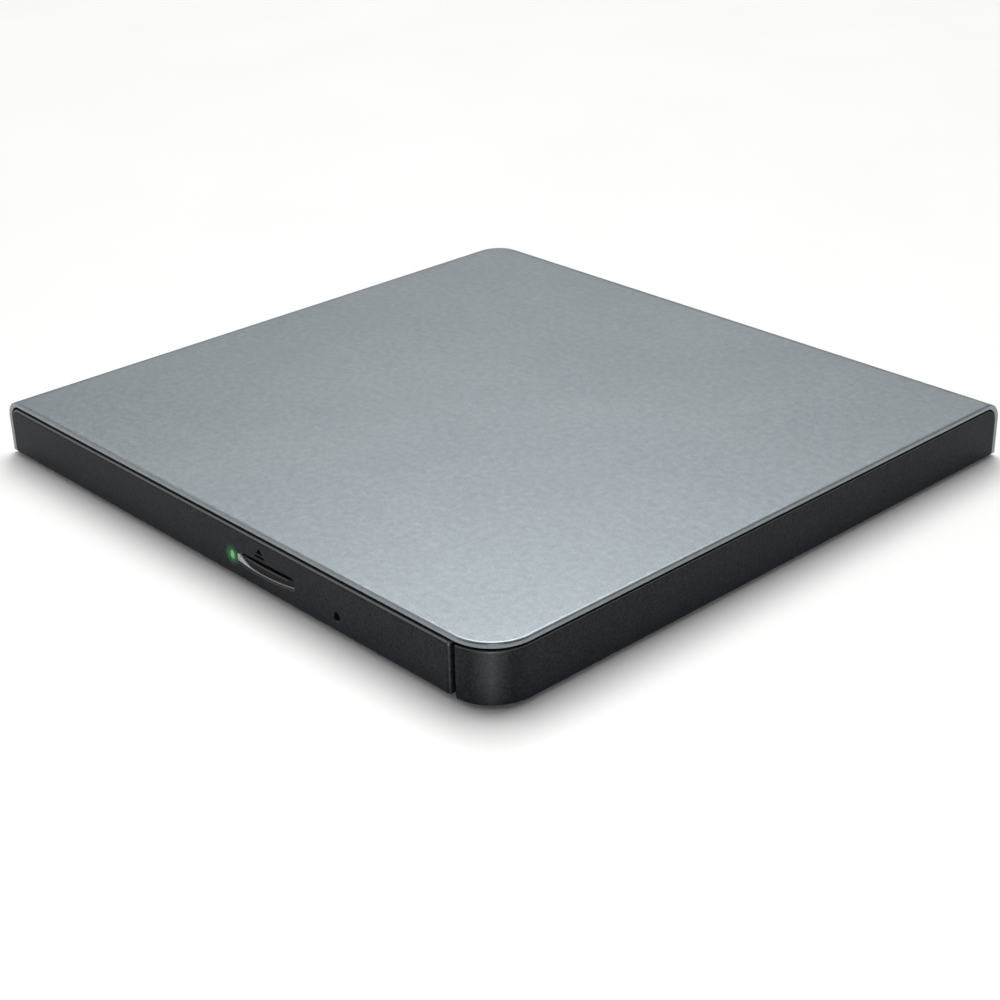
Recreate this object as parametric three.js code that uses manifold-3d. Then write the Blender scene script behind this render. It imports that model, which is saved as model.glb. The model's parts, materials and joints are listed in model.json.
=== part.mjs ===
// Slim external optical drive: a tray-loading mechanism in a two-piece case.
// Units are millimetres. +X is right along the front, +Y is to the rear, +Z is up.
// The origin is on the supporting surface, below the centre of the case.
import * as THREE from "three";
import { mergeVertices } from "three/addons/utils/BufferGeometryUtils.js";
import Module from "manifold-3d";

const wasm = await Module();
wasm.setup();

// ---------------------------------------------------------------- driving dimensions
const WIDTH = 144;
const DEPTH = 137.5;
const FOOT_DROP = 0.6; // how far the feet stand out below the case
const BODY_HEIGHT = 11.4;
const GAP = 0.3; // running gap between neighbouring pieces
const FIT = 0.35; // clearance between the two case shells, and behind the bezel

const LEFT = -WIDTH / 2;
const RIGHT = WIDTH / 2;
const FRONT = -DEPTH / 2;
const REAR = DEPTH / 2;
const BASE = FOOT_DROP;
const TOP = BASE + BODY_HEIGHT;

// Case shells
const SKIN = 1; // cover thickness
const ROLL = 4; // outside radius of the cover's rolled left and rear edges
const REAR_CORNER = 8; // plan radius of the rear left corner
const FRONT_CORNER = 9; // plan radius of the front right corner
const COVER_SETBACK_FRONT = 0.5;
const COVER_SETBACK_RIGHT = 0.25;
const COVER_UNDER = TOP - SKIN;
const FLOOR = 1.1; // thickness of the bottom case
const FLOOR_TOP = BASE + FLOOR;
const WALL_TOP = COVER_UNDER - FIT;
const SIDE_WALL = 1.2;

// Bezel
const BEZEL_LEFT = -70.6;
const BEZEL_RIGHT = 62.6;
const BEZEL_THICK = 2.2;
const BEZEL_TOP = COVER_UNDER - GAP;
const BEZEL_BACK = FRONT + BEZEL_THICK;
const CORNER_POST_LEFT = 63.9; // left end of the case's front right corner

// Steel chassis around the mechanism
const PAN_LEFT = -69.3;
const PAN_RIGHT = 60.5;
const PAN_FRONT = -64.4;
const PAN_REAR = 60.8;
const PAN_SHEET = 0.4;
const PAN_UNDER = FLOOR_TOP + GAP;
const PAN_TOP = PAN_UNDER + PAN_SHEET;
const PAN_WALL_TOP = 9.9;
const SHIELD_UNDER = 10.35;

// Disc position and tray
const SPINDLE_X = -4.25;
const SPINDLE_Y = -4.5;
const DISC_RADIUS = 60;
const DISC_UNDER = 8.4;
const RECESS_RADIUS = DISC_RADIUS + 1.2;
const SMALL_RECESS_RADIUS = 41;
const TRAY_TOP = 9.3;
const RECESS_FLOOR = 7.7;
const SMALL_RECESS_FLOOR = 7.3;
const DECK_UNDER = 6.7;
const SKIRT_UNDER = 3.4;
const TRAY_LEFT = -68.2;
const TRAY_RIGHT = 41.5;
const TRAY_ARM_RIGHT = 58;
const TRAY_ARM_REAR = -50.5;
const TRAY_FRONT = BEZEL_BACK + FIT;
const TRAY_REAR = 59.2;
const SKIRT_LEFT = -64.4;
const SKIRT_RIGHT = 39.4;
const SKIRT = 1;

// Rails: a fixed guide outside, a slide rail in it, the tray's tongue in the rail
const RAIL_FRONT = -58;
const RAIL_REAR = 52;
const GUIDE_UNDER = PAN_TOP + GAP;
const GUIDE_TOP = 6.3;
const TONGUE_UNDER = 4.1;
const TONGUE_TOP = 4.9;
const TONGUE_WIDTH = 2.3;

// Pickup mechanism, in its own frame: local x runs from the spindle to the disc's edge
const TRAVERSE_ANGLE = -135; // degrees about Z
const LENS_REST = 23; // lens distance from the spindle at rest
const ROD_OFFSET = 12;
const ROD_RADIUS = 0.8;
const ROD_Z = 5;
const SCREW_OFFSET = -19;
const SCREW_RADIUS = 1;
const SCREW_START = 8.5;
const SCREW_END = 60;
const MOTOR_LENGTH = 11;

// Front panel details
const BUTTON_CENTRE_X = 14.4;
const LED_X = 4.64;
const LED_Z = BASE + 4.21;
const PINHOLE_X = 34.04;
const PINHOLE_Z = BASE + 3.18;
const PINHOLE_RADIUS = 0.85;

// Board and USB socket
const BOARD_LEFT = 46.8;
const BOARD_RIGHT = 59.6;
const BOARD_FRONT = -42.5;
const BOARD_REAR = 66.2;
const BOARD_UNDER = 3.4;
const BOARD_THICK = 0.8;
const BOARD_TOP = BOARD_UNDER + BOARD_THICK;
const USB_X = 53;
const USB_WIDTH = 7.7;
const USB_HEIGHT = 3.9;
const USB_LENGTH = 9.2;
const USB_SHEET = 0.35;

// ---------------------------------------------------------------- materials
function material(color, roughness, metalness) {
  return new THREE.MeshStandardMaterial({ color, roughness, metalness });
}

const SILVER_PAINT = material(0xa9aeb2, 0.42, 0.55);
const CASE_BLACK = material(0x26282b, 0.55, 0);
const BUTTON_BLACK = material(0x141517, 0.2, 0);
const TRAY_BLACK = material(0x202225, 0.6, 0);
const STEEL = material(0xb4b7ba, 0.35, 0.9);
const DARK_STEEL = material(0x6b6e70, 0.4, 0.85);
const RUBBER = material(0x1b1b1c, 0.85, 0);
const PALE_CLEAR = material(0xdfe5e8, 0.2, 0);
const GREEN_LIGHT = material(0x48c65a, 0.3, 0);
const BOARD_GREEN = material(0x1d5a36, 0.5, 0);
const CHIP_BLACK = material(0x17181a, 0.5, 0);
const WHITE_PLASTIC = material(0xd8d8d2, 0.5, 0);
const BRASS = material(0xb08d4a, 0.35, 0.9);
const GLASS = material(0x9fb4d8, 0.05, 0);
const AMBER_FILM = material(0xb5772e, 0.4, 0);

// ---------------------------------------------------------------- solid helpers
// A closed geometry as a manifold solid, without the triangles that merging flattens.
function solid(geometry) {
  const bare = geometry.clone();
  bare.deleteAttribute("normal");
  bare.deleteAttribute("uv");
  const merged = mergeVertices(bare, 1e-4);
  const vertProperties = new Float32Array(merged.attributes.position.array);
  const corners = merged.index.array;
  const kept = [];
  for (let i = 0; i < corners.length; i += 3) {
    const [a, b, c] = corners.subarray(i, i + 3);
    if (a !== b && b !== c && c !== a) kept.push(a, b, c);
  }
  const triVerts = new Uint32Array(kept);
  return new wasm.Manifold(new wasm.Mesh({ numProp: 3, vertProperties, triVerts }));
}

function join(...solids) {
  return solids.reduce((sum, next) => sum.add(next));
}

function cut(base, ...tools) {
  return tools.reduce((rest, tool) => rest.subtract(tool), base);
}

// A box from its lowest and highest corner.
function box(x0, x1, y0, y1, z0, z1) {
  const geometry = new THREE.BoxGeometry(x1 - x0, y1 - y0, z1 - z0);
  geometry.translate((x0 + x1) / 2, (y0 + y1) / 2, (z0 + z1) / 2);
  return solid(geometry);
}

// A plan outline raised from z0 to z1.
function prism(shape, z0, z1, curveSegments = 10) {
  const geometry = new THREE.ExtrudeGeometry(shape, { depth: z1 - z0, bevelEnabled: false, curveSegments });
  geometry.translate(0, 0, z0);
  return solid(geometry);
}

// An outline drawn in x and z, given a thickness from y0 to y1.
function frontPrism(shape, y0, y1, curveSegments = 10) {
  const geometry = new THREE.ExtrudeGeometry(shape, { depth: y1 - y0, bevelEnabled: false, curveSegments });
  geometry.rotateX(Math.PI / 2);
  geometry.translate(0, y1, 0);
  return solid(geometry);
}

// An outline drawn in y and z, given a thickness from x0 to x1.
function sidePrism(shape, x0, x1, curveSegments = 10) {
  const geometry = new THREE.ExtrudeGeometry(shape, { depth: x1 - x0, bevelEnabled: false, curveSegments });
  geometry.rotateX(Math.PI / 2);
  geometry.rotateZ(Math.PI / 2);
  geometry.translate(x0, 0, 0);
  return solid(geometry);
}

// An upright cylinder.
function post(x, y, radius, z0, z1, segments = 24) {
  const geometry = new THREE.CylinderGeometry(radius, radius, z1 - z0, segments);
  geometry.rotateX(Math.PI / 2);
  geometry.translate(x, y, (z0 + z1) / 2);
  return solid(geometry);
}

// A cylinder lying along X.
function barX(x0, x1, y, z, radius, segments = 16) {
  const geometry = new THREE.CylinderGeometry(radius, radius, x1 - x0, segments);
  geometry.rotateZ(Math.PI / 2);
  geometry.translate((x0 + x1) / 2, y, z);
  return solid(geometry);
}

// A cylinder lying along Y.
function barY(y0, y1, x, z, radius, segments = 16) {
  const geometry = new THREE.CylinderGeometry(radius, radius, y1 - y0, segments);
  geometry.translate(x, (y0 + y1) / 2, z);
  return solid(geometry);
}

// A turned piece about Z from [radius, z] points that start and end on the axis or close up.
function turned(points, segments = 36) {
  const geometry = new THREE.LatheGeometry(points.map(([r, z]) => new THREE.Vector2(r, z)), segments);
  geometry.rotateX(Math.PI / 2);
  return solid(geometry);
}

function ring(x, y, inner, outer, z0, z1, segments = 36) {
  const body = post(x, y, outer, z0, z1, segments);
  return cut(body, post(x, y, inner, z0 - 1, z1 + 1, segments));
}

function polygon(points) {
  return new THREE.Shape(points.map(([x, y]) => new THREE.Vector2(x, y)));
}

// A rectangle with its own radius at each corner, counter-clockwise from the lower left.
function cornered(x0, x1, y0, y1, [lowerLeft, lowerRight, upperRight, upperLeft]) {
  const shape = new THREE.Shape();
  const quarter = Math.PI / 2;
  const turn = (x, y, r, start) => {
    if (r > 0) shape.absarc(x, y, r, start, start + quarter, false);
    else shape.lineTo(x, y);
  };
  shape.moveTo(x0 + lowerLeft, y0);
  turn(x1 - lowerRight, y0 + lowerRight, lowerRight, -quarter);
  turn(x1 - upperRight, y1 - upperRight, upperRight, 0);
  turn(x0 + upperLeft, y1 - upperLeft, upperLeft, quarter);
  turn(x0 + lowerLeft, y0 + lowerLeft, lowerLeft, 2 * quarter);
  return shape;
}

// A named mesh from a manifold solid.
function piece(name, body, look) {
  const { vertProperties, triVerts, numProp } = body.getMesh();
  const count = vertProperties.length / numProp;
  const positions = new Float32Array(count * 3);
  for (let i = 0; i < count; i++) {
    positions.set(vertProperties.subarray(i * numProp, i * numProp + 3), i * 3);
  }
  const geometry = new THREE.BufferGeometry();
  geometry.setAttribute("position", new THREE.BufferAttribute(positions, 3));
  geometry.setIndex(new THREE.BufferAttribute(new Uint32Array(triVerts), 1));
  geometry.computeVertexNormals();
  const mesh = new THREE.Mesh(geometry, look);
  mesh.name = name;
  return mesh;
}

function group(...members) {
  const result = new THREE.Group();
  result.add(...members);
  return result;
}

// ---------------------------------------------------------------- case shells
const SCREW_PLACES = [[66.4, -56], [66.4, 58], [-60, 63.6], [6, 63.6]];
const BOSS_RADIUS = 2.1;
const PILOT_RADIUS = 1.1;
const PAST = 20; // how far a cutting block runs on past the case
const FEET_INSET = 13;
const FOOT_RADIUS = 5;
const FOOT_POCKET = 0.6;
const LABEL_DEPTH = 0.25;

// A block whose left and rear upper edges are rolled; it runs on past the front and right.
function rolledBlock(inset) {
  const roll = ROLL - inset;
  const corner = REAR_CORNER - inset;
  const shape = cornered(LEFT + inset, RIGHT + PAST, FRONT - PAST, REAR - inset, [6, 6, 6, corner]);
  const depth = BODY_HEIGHT + PAST - inset;
  const geometry = new THREE.ExtrudeGeometry(shape, {
    depth: depth - 2 * roll,
    bevelEnabled: true,
    bevelThickness: roll,
    bevelSize: roll,
    bevelOffset: -roll,
    bevelSegments: 5,
    curveSegments: 6,
  });
  geometry.translate(0, 0, TOP - inset - depth + roll);
  return solid(geometry);
}

// The cover's plan outline, with its top edge eased along the front and the right.
function coverTrim() {
  const ease = 0.5;
  const right = RIGHT - COVER_SETBACK_RIGHT;
  const front = FRONT + COVER_SETBACK_FRONT;
  const shape = cornered(LEFT - 20, right, front, REAR + 20, [2, FRONT_CORNER - 0.4, 2, 2]);
  const geometry = new THREE.ExtrudeGeometry(shape, {
    depth: 30 - 2 * ease,
    bevelEnabled: true,
    bevelThickness: ease,
    bevelSize: ease,
    bevelOffset: -ease,
    bevelSegments: 2,
    curveSegments: 8,
  });
  geometry.translate(0, 0, TOP - 30 + ease);
  return solid(geometry);
}

function topCover() {
  const below = box(LEFT - 30, RIGHT + 30, FRONT - 30, REAR + 30, BASE - 30, BASE);
  const shell = cut(rolledBlock(0).intersect(coverTrim()), rolledBlock(SKIN), below);
  const bosses = SCREW_PLACES.map(([x, y]) => post(x, y, BOSS_RADIUS, FLOOR_TOP + 1.1, TOP - SKIN / 2, 12));
  const pilots = SCREW_PLACES.map(([x, y]) => post(x, y, PILOT_RADIUS, BASE, COVER_UNDER - 1.5, 8));
  const socket = cornered(USB_X - 4.5, USB_X + 4.5, BOARD_TOP - 0.4, BOARD_TOP + 4.9, [0.8, 0.8, 0.8, 0.8]);
  return cut(join(shell, ...bosses), ...pilots, frontPrism(socket, REAR - 3, REAR + 3, 3));
}

function bottomCase() {
  const wallRear = REAR - SKIN - FIT;
  const inner = { left: LEFT + SKIN + FIT, rear: wallRear };
  const floorFront = BEZEL_BACK + FIT;
  const rearLeft = REAR_CORNER - SKIN - FIT;
  const sideOutline = cornered(FRONT - 1, wallRear, BASE, WALL_TOP, [0, 0, ROLL - SKIN - FIT, 0]);
  const sideBand = sidePrism(sideOutline, RIGHT - 20, RIGHT + 1, 5);
  const plan = cornered(LEFT, RIGHT, FRONT, REAR + 20, [0, FRONT_CORNER, 0, 0]);
  const innerCorners = [0, FRONT_CORNER - SIDE_WALL, 0, 0];
  const planInner = cornered(LEFT - 1, RIGHT - SIDE_WALL, FRONT + SIDE_WALL, REAR + 30, innerCorners);
  const shellRing = cut(prism(plan, BASE, WALL_TOP, 9), prism(planInner, BASE - 1, WALL_TOP + 1, 6));
  const cornerZone = join(
    box(CORNER_POST_LEFT, RIGHT + 1, FRONT - 1, FRONT + 12, BASE - 1, TOP),
    box(RIGHT - SIDE_WALL - 0.2, RIGHT + 1, FRONT + 8, REAR + 1, BASE - 1, TOP),
  );
  const rightWall = shellRing.intersect(cornerZone).intersect(sideBand);
  const floorPlan = cornered(inner.left, RIGHT + 5, floorFront, wallRear, [0, 0, 0, rearLeft]);
  const floor = prism(plan, BASE, FLOOR_TOP, 9).intersect(prism(floorPlan, BASE - 1, FLOOR_TOP + 1, 6));
  const cornerFloor = prism(plan, BASE, FLOOR_TOP, 9).intersect(
    box(CORNER_POST_LEFT, RIGHT + 1, FRONT - 1, FRONT + 20, BASE - 1, TOP),
  );
  const bayWall = box(CORNER_POST_LEFT, CORNER_POST_LEFT + 1, FRONT + 0.6, FRONT + 10, BASE, WALL_TOP - 0.4);
  const leftRib = box(inner.left, inner.left + 0.9, floorFront + 1, REAR - 12, BASE, 9);
  const rearRib = box(LEFT + 12, RIGHT - 1.5, wallRear - 0.9, wallRear, BASE, 9);
  const collars = SCREW_PLACES.map(([x, y]) => post(x, y, BOSS_RADIUS + 0.1, BASE, FLOOR_TOP + 0.8, 12));
  const body = join(floor, rightWall, cornerFloor, bayWall, leftRib, rearRib, ...collars);
  const screwHoles = SCREW_PLACES.map(([x, y]) => join(
    post(x, y, 1.35, BASE - 1, TOP, 10),
    post(x, y, 2.2, BASE - 1, BASE + 1, 16),
  ));
  const pockets = footPlaces().map(([x, y]) => (
    post(x, y, FOOT_RADIUS + GAP, BASE - 1, BASE + FOOT_POCKET, 20)
  ));
  const label = prism(cornered(-38, 38, -16, 26, [2, 2, 2, 2]), BASE - 1, BASE + LABEL_DEPTH, 4);
  const usbWay = box(USB_X - 4.6, USB_X + 4.6, wallRear - 2, wallRear + 1, BOARD_TOP - 1.3, 12);
  return cut(body, ...screwHoles, ...pockets, label, usbWay);
}

function footPlaces() {
  const x = RIGHT - FEET_INSET;
  const y = REAR - FEET_INSET;
  return [[-x, -y], [x, -y], [-x, y], [x, y]];
}

function rubberFoot() {
  const lip = 0.35;
  const height = BASE + FOOT_POCKET - GAP;
  return turned([[0, 0], [FOOT_RADIUS - lip, 0], [FOOT_RADIUS, lip], [FOOT_RADIUS, height], [0, height]], 20);
}

function caseScrew() {
  const headRadius = 1.85;
  const headTop = BASE + 0.6;
  const tip = COVER_UNDER - 2.2;
  const headUnder = BASE + 0.15;
  const shank = 0.8;
  const body = turned([
    [0, headUnder], [headRadius, headUnder], [headRadius, headTop],
    [shank, headTop + 0.2], [shank, tip], [0, tip],
  ], 12);
  const slotWidth = 0.4;
  const slotReach = 1.1;
  const slots = [
    box(-slotReach, slotReach, -slotWidth / 2, slotWidth / 2, BASE - 0.2, BASE + 0.6),
    box(-slotWidth / 2, slotWidth / 2, -slotReach, slotReach, BASE - 0.2, BASE + 0.6),
  ];
  return cut(body, ...slots);
}

function caseGroup() {
  const members = [
    piece("top_cover", topCover(), SILVER_PAINT),
    piece("bottom_case", bottomCase(), CASE_BLACK),
  ];
  footPlaces().forEach(([x, y], i) => {
    const foot = piece(`rubber_foot_${i + 1}`, rubberFoot(), RUBBER);
    foot.position.set(x, y, 0);
    members.push(foot);
  });
  SCREW_PLACES.forEach(([x, y], i) => {
    const screw = piece(`case_screw_${i + 1}`, caseScrew(), DARK_STEEL);
    screw.position.set(x, y, 0);
    members.push(screw);
  });
  return group(...members);
}

// ---------------------------------------------------------------- fixed chassis and rails
function driveChassis() {
  const floor = box(PAN_LEFT, PAN_RIGHT, PAN_FRONT, PAN_REAR, PAN_UNDER, PAN_TOP);
  const walls = [
    box(PAN_LEFT, PAN_LEFT + PAN_SHEET, PAN_FRONT, PAN_REAR, PAN_UNDER, PAN_WALL_TOP),
    box(PAN_RIGHT - PAN_SHEET, PAN_RIGHT, PAN_FRONT, PAN_REAR, PAN_UNDER, PAN_WALL_TOP),
    box(PAN_LEFT, PAN_RIGHT, PAN_REAR - PAN_SHEET, PAN_REAR, PAN_UNDER, PAN_WALL_TOP),
  ];
  const boardWay = box(BOARD_LEFT - 0.5, PAN_RIGHT - 0.5, PAN_REAR - 2, PAN_REAR + 1, BOARD_UNDER - 0.4, TOP);
  const bracket = box(44.1, 45.2, RAIL_FRONT + 2, RAIL_REAR - 3, PAN_UNDER, 5.4);
  return cut(join(floor, ...walls, bracket), boardWay);
}

function topShield() {
  const inset = 0.1;
  const frontSetback = 3;
  const thick = 0.3;
  return box(
    PAN_LEFT + inset, PAN_RIGHT - inset,
    PAN_FRONT + frontSetback, PAN_REAR - inset,
    SHIELD_UNDER, SHIELD_UNDER + thick,
  );
}

// A C-shaped channel along Y, open towards +X: web, lower and upper flange.
function channel(webX, web, reach, z0, z1, flange, y0, y1) {
  return join(
    box(webX, webX + web, y0, y1, z0, z1),
    box(webX, reach, y0, y1, z0, z0 + flange),
    box(webX, reach, y0, y1, z1 - flange, z1),
  );
}

const RAIL_INNER = TONGUE_WIDTH + GAP; // rail web's inner face from the skirt
const RAIL_WEB = 0.5;
const RAIL_FLANGE = 0.4;
const GUIDE_WEB = 0.6;

// Pieces of the left-hand rail set, measured from the tray's left skirt.
function railGuideLeft() {
  const inner = SKIRT_LEFT - RAIL_INNER - RAIL_WEB - GAP;
  const reach = SKIRT_LEFT - 0.9;
  return channel(
    inner - GUIDE_WEB, GUIDE_WEB, reach, GUIDE_UNDER, GUIDE_TOP, RAIL_FLANGE, RAIL_FRONT, RAIL_REAR,
  );
}

function slideRailLeft() {
  const web = SKIRT_LEFT - RAIL_INNER - RAIL_WEB;
  const z0 = GUIDE_UNDER + RAIL_FLANGE + GAP;
  const z1 = GUIDE_TOP - RAIL_FLANGE - GAP;
  return channel(web, RAIL_WEB, SKIRT_LEFT - 0.4, z0, z1, RAIL_FLANGE, RAIL_FRONT, RAIL_REAR);
}

// The right-hand set is the left-hand one mirrored about the middle of the two skirts.
function mirrored(body) {
  const middle = (SKIRT_LEFT + SKIRT_RIGHT) / 2;
  return body.mirror([1, 0, 0]).translate([2 * middle, 0, 0]);
}

const LATCH_POST = { x: 53.4, y: -47.6, radius: 0.9 };

function latchPost() {
  return post(LATCH_POST.x, LATCH_POST.y, LATCH_POST.radius, PAN_TOP + 0.05, 5.4, 16);
}

function mainBoard() {
  const board = box(BOARD_LEFT, BOARD_RIGHT, BOARD_FRONT, BOARD_REAR, BOARD_UNDER, BOARD_TOP);
  const holes = [[BOARD_LEFT + 1.8, BOARD_FRONT + 2], [BOARD_RIGHT - 1.8, 30]];
  return cut(board, ...holes.map(([x, y]) => post(x, y, 0.9, BOARD_UNDER - 1, BOARD_TOP + 1, 12)));
}

function chip(size, height) {
  const half = size / 2;
  const body = box(-half, half, -half, half, 0, height);
  return cut(body, post(-half + 1.2, half - 1.2, 0.45, height - 0.15, height + 1, 10));
}

function boardGroup() {
  const surface = BOARD_TOP + 0.05;
  const chips = [
    ["usb_bridge_chip", chip(7, 0.9), USB_X, 44],
    ["controller_chip", chip(10, 1.2), USB_X, 12],
    ["motor_driver_chip", chip(8, 1.1), USB_X, -24],
  ];
  const placed = chips.map(([name, body, x, y]) => {
    const mesh = piece(name, body, CHIP_BLACK);
    mesh.position.set(x, y, surface);
    return mesh;
  });
  const connector = cut(box(-1.6, 1.6, -4, 4, 0, 1.8), box(-2, 0.4, -3.3, 3.3, 0.7, 1.3));
  const flexConnector = piece("flex_connector", connector, WHITE_PLASTIC);
  flexConnector.position.set(BOARD_LEFT + 2.2, FLEX_REAR - FLEX_WIDTH / 2, surface);
  return group(piece("main_board", mainBoard(), BOARD_GREEN), flexConnector, ...placed);
}

function usbSocketShell() {
  const outline = cornered(-USB_WIDTH / 2, USB_WIDTH / 2, 0, USB_HEIGHT, [1.1, 1.1, 0.4, 0.4]);
  const w = USB_WIDTH / 2 - USB_SHEET;
  const inside = cornered(-w, w, USB_SHEET, USB_HEIGHT - USB_SHEET, [0.8, 0.8, 0.2, 0.2]);
  return cut(frontPrism(outline, 0, USB_LENGTH, 4), frontPrism(inside, 1, USB_LENGTH + 1, 4));
}

function usbContactTongue() {
  return join(
    box(-2.6, 2.6, 1.3, 8, 1.6, 2.5),
    box(-3.1, 3.1, 1.3, 3, 0.7, 3.2),
  );
}

function usbGroup() {
  const result = group(
    piece("usb_socket_shell", usbSocketShell(), STEEL),
    piece("usb_contact_tongue", usbContactTongue(), CHIP_BLACK),
  );
  result.position.set(USB_X, REAR - SKIN - 0.2 - USB_LENGTH, BOARD_TOP + 0.1);
  return result;
}

// The ribbon cable: from the board across the rear, then a flat loop under the tray.
const FLEX_SHEET = 0.1;
const FLEX_FOLD_Y = -16;
const FLEX_LEFT = -14;
const FLEX_REAR = 56.5;
const FLEX_WIDTH = 6;
const FLEX_LOWER = PAN_TOP + 0.05;
const FLEX_UPPER = FLEX_LOWER + 0.15;
const FLEX_PLUG_Z = BOARD_TOP + 0.95;

function trayFlex() {
  const right = FLEX_LEFT + FLEX_WIDTH;
  const crossFront = FLEX_REAR - FLEX_WIDTH;
  return join(
    box(FLEX_LEFT, right, FLEX_FOLD_Y, FLEX_REAR, FLEX_LOWER, FLEX_LOWER + FLEX_SHEET),
    box(FLEX_LEFT, right, FLEX_FOLD_Y - 1, FLEX_FOLD_Y, FLEX_LOWER, FLEX_UPPER + FLEX_SHEET),
    box(FLEX_LEFT, right, FLEX_FOLD_Y, crossFront - 2, FLEX_UPPER, FLEX_UPPER + FLEX_SHEET),
    box(right - 1, 46.4, crossFront, FLEX_REAR, FLEX_LOWER, FLEX_LOWER + FLEX_SHEET),
    box(46.3, 46.4, crossFront, FLEX_REAR, FLEX_LOWER, FLEX_PLUG_Z),
    box(46.3, 48.6, crossFront, FLEX_REAR, FLEX_PLUG_Z, FLEX_PLUG_Z + FLEX_SHEET),
  );
}

function chassisGroup() {
  return group(
    piece("drive_chassis", driveChassis(), STEEL),
    piece("top_shield", topShield(), STEEL),
    piece("left_rail_guide", railGuideLeft(), WHITE_PLASTIC),
    piece("right_rail_guide", mirrored(railGuideLeft()), WHITE_PLASTIC),
    piece("latch_post", latchPost(), STEEL),
    piece("tray_flex", trayFlex(), AMBER_FILM),
  );
}

function railGroup() {
  return group(
    piece("left_slide_rail", slideRailLeft(), STEEL),
    piece("right_slide_rail", mirrored(slideRailLeft()), STEEL),
  );
}

// ---------------------------------------------------------------- tray
// Local x and y of the pickup frame as a point of the case's plan.
function fromTraverse([u, v]) {
  const a = THREE.MathUtils.degToRad(TRAVERSE_ANGLE);
  return [SPINDLE_X + u * Math.cos(a) - v * Math.sin(a), SPINDLE_Y + u * Math.sin(a) + v * Math.cos(a)];
}

// The pickup mechanism's plan, in its own frame.
const TRAVERSE_OUTLINE = [
  [-17, -16], [-11, -22.5], [58, -22.5], [64, -19], [70, -11], [70, 11], [64, 19], [-12, 19], [-17, 14],
];

function grownOutline(points, grow) {
  const middle = [25, -2];
  return points.map(([u, v]) => [u + Math.sign(u - middle[0]) * grow, v + Math.sign(v - middle[1]) * grow]);
}

function discTray() {
  const deckShape = polygon([
    [TRAY_LEFT, TRAY_FRONT], [TRAY_ARM_RIGHT, TRAY_FRONT], [TRAY_ARM_RIGHT, TRAY_ARM_REAR],
    [TRAY_RIGHT, TRAY_ARM_REAR], [TRAY_RIGHT, TRAY_REAR - 3], [TRAY_RIGHT - 3, TRAY_REAR],
    [TRAY_LEFT + 3, TRAY_REAR], [TRAY_LEFT, TRAY_REAR - 3],
  ]);
  const deck = prism(deckShape, DECK_UNDER, TRAY_TOP);
  const skirts = [
    box(SKIRT_LEFT, SKIRT_LEFT + SKIRT, TRAY_FRONT, TRAY_REAR - 0.4, SKIRT_UNDER, DECK_UNDER + 0.5),
    box(SKIRT_RIGHT - SKIRT, SKIRT_RIGHT, TRAY_FRONT, TRAY_REAR - 0.4, SKIRT_UNDER, DECK_UNDER + 0.5),
    box(SKIRT_LEFT, TRAY_ARM_RIGHT, TRAY_FRONT, TRAY_FRONT + 1.2, SKIRT_UNDER, DECK_UNDER + 0.5),
    box(SKIRT_LEFT, SKIRT_RIGHT, TRAY_REAR - 1.4, TRAY_REAR - 0.4, SKIRT_UNDER, DECK_UNDER + 0.5),
    box(TRAY_ARM_RIGHT - SKIRT, TRAY_ARM_RIGHT, TRAY_FRONT, TRAY_ARM_REAR, SKIRT_UNDER, DECK_UNDER + 0.5),
  ];
  const tongueFront = RAIL_FRONT - 1;
  const tongues = [
    box(SKIRT_LEFT - TONGUE_WIDTH, SKIRT_LEFT + 0.2, tongueFront, TRAY_REAR - 1, TONGUE_UNDER, TONGUE_TOP),
    box(SKIRT_RIGHT - 0.2, SKIRT_RIGHT + TONGUE_WIDTH, tongueFront, TRAY_REAR - 1, TONGUE_UNDER, TONGUE_TOP),
  ];
  const recess = join(
    post(SPINDLE_X, SPINDLE_Y, RECESS_RADIUS, RECESS_FLOOR, TRAY_TOP + 1, 72),
    post(SPINDLE_X, SPINDLE_Y, SMALL_RECESS_RADIUS, SMALL_RECESS_FLOOR, TRAY_TOP + 1, 48),
  );
  const opening = polygon(grownOutline(TRAVERSE_OUTLINE, -1.2).map(fromTraverse));
  const wayUnder = SKIRT_UNDER + 0.2;
  const ways = [
    box(1.5, 25.5, TRAY_FRONT - 1, TRAY_FRONT + 1.5, wayUnder, DECK_UNDER),
    box(PINHOLE_X - 1.4, PINHOLE_X + 1.4, TRAY_FRONT - 1, TRAY_FRONT + 1.5, wayUnder, DECK_UNDER - 1),
    box(EJECTOR_X - 2.1, EJECTOR_X + 2.1, TRAY_REAR - 3, TRAY_REAR + 1, 3.6, 6.4),
    box(SKIRT_RIGHT - SKIRT - 1, SKIRT_RIGHT + 1, -64.2, RAIL_FRONT - 1.5, SKIRT_UNDER - 1, 5.2),
  ];
  return cut(join(deck, ...skirts, ...tongues), recess, prism(opening, 0, TOP), ...ways);
}

function trayBottomShield() {
  const sheet = box(SKIRT_LEFT + 0.4, SKIRT_RIGHT - 0.4, TRAY_FRONT + 0.6, TRAY_REAR - 1, 2.8, 3.1);
  const vents = [];
  for (let i = 0; i < 6; i++) {
    vents.push(box(8 + i * 4.6, 10.6 + i * 4.6, 22, 46, 2, 4));
  }
  return cut(sheet, ...vents, post(SPINDLE_X, SPINDLE_Y, 6, 2, 4, 28));
}

const BUTTON_LEFT_TOP = { x: 6.3, z: BASE + 5.5 };
const BUTTON_RIGHT = 22.5;
const BUTTON_RIGHT_TOP = BASE + 5.85;
const BUTTON_SETBACK = 0.8;
const CRESCENT_TIP = { x: 5.85, z: BASE + 4.8 };

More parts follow.
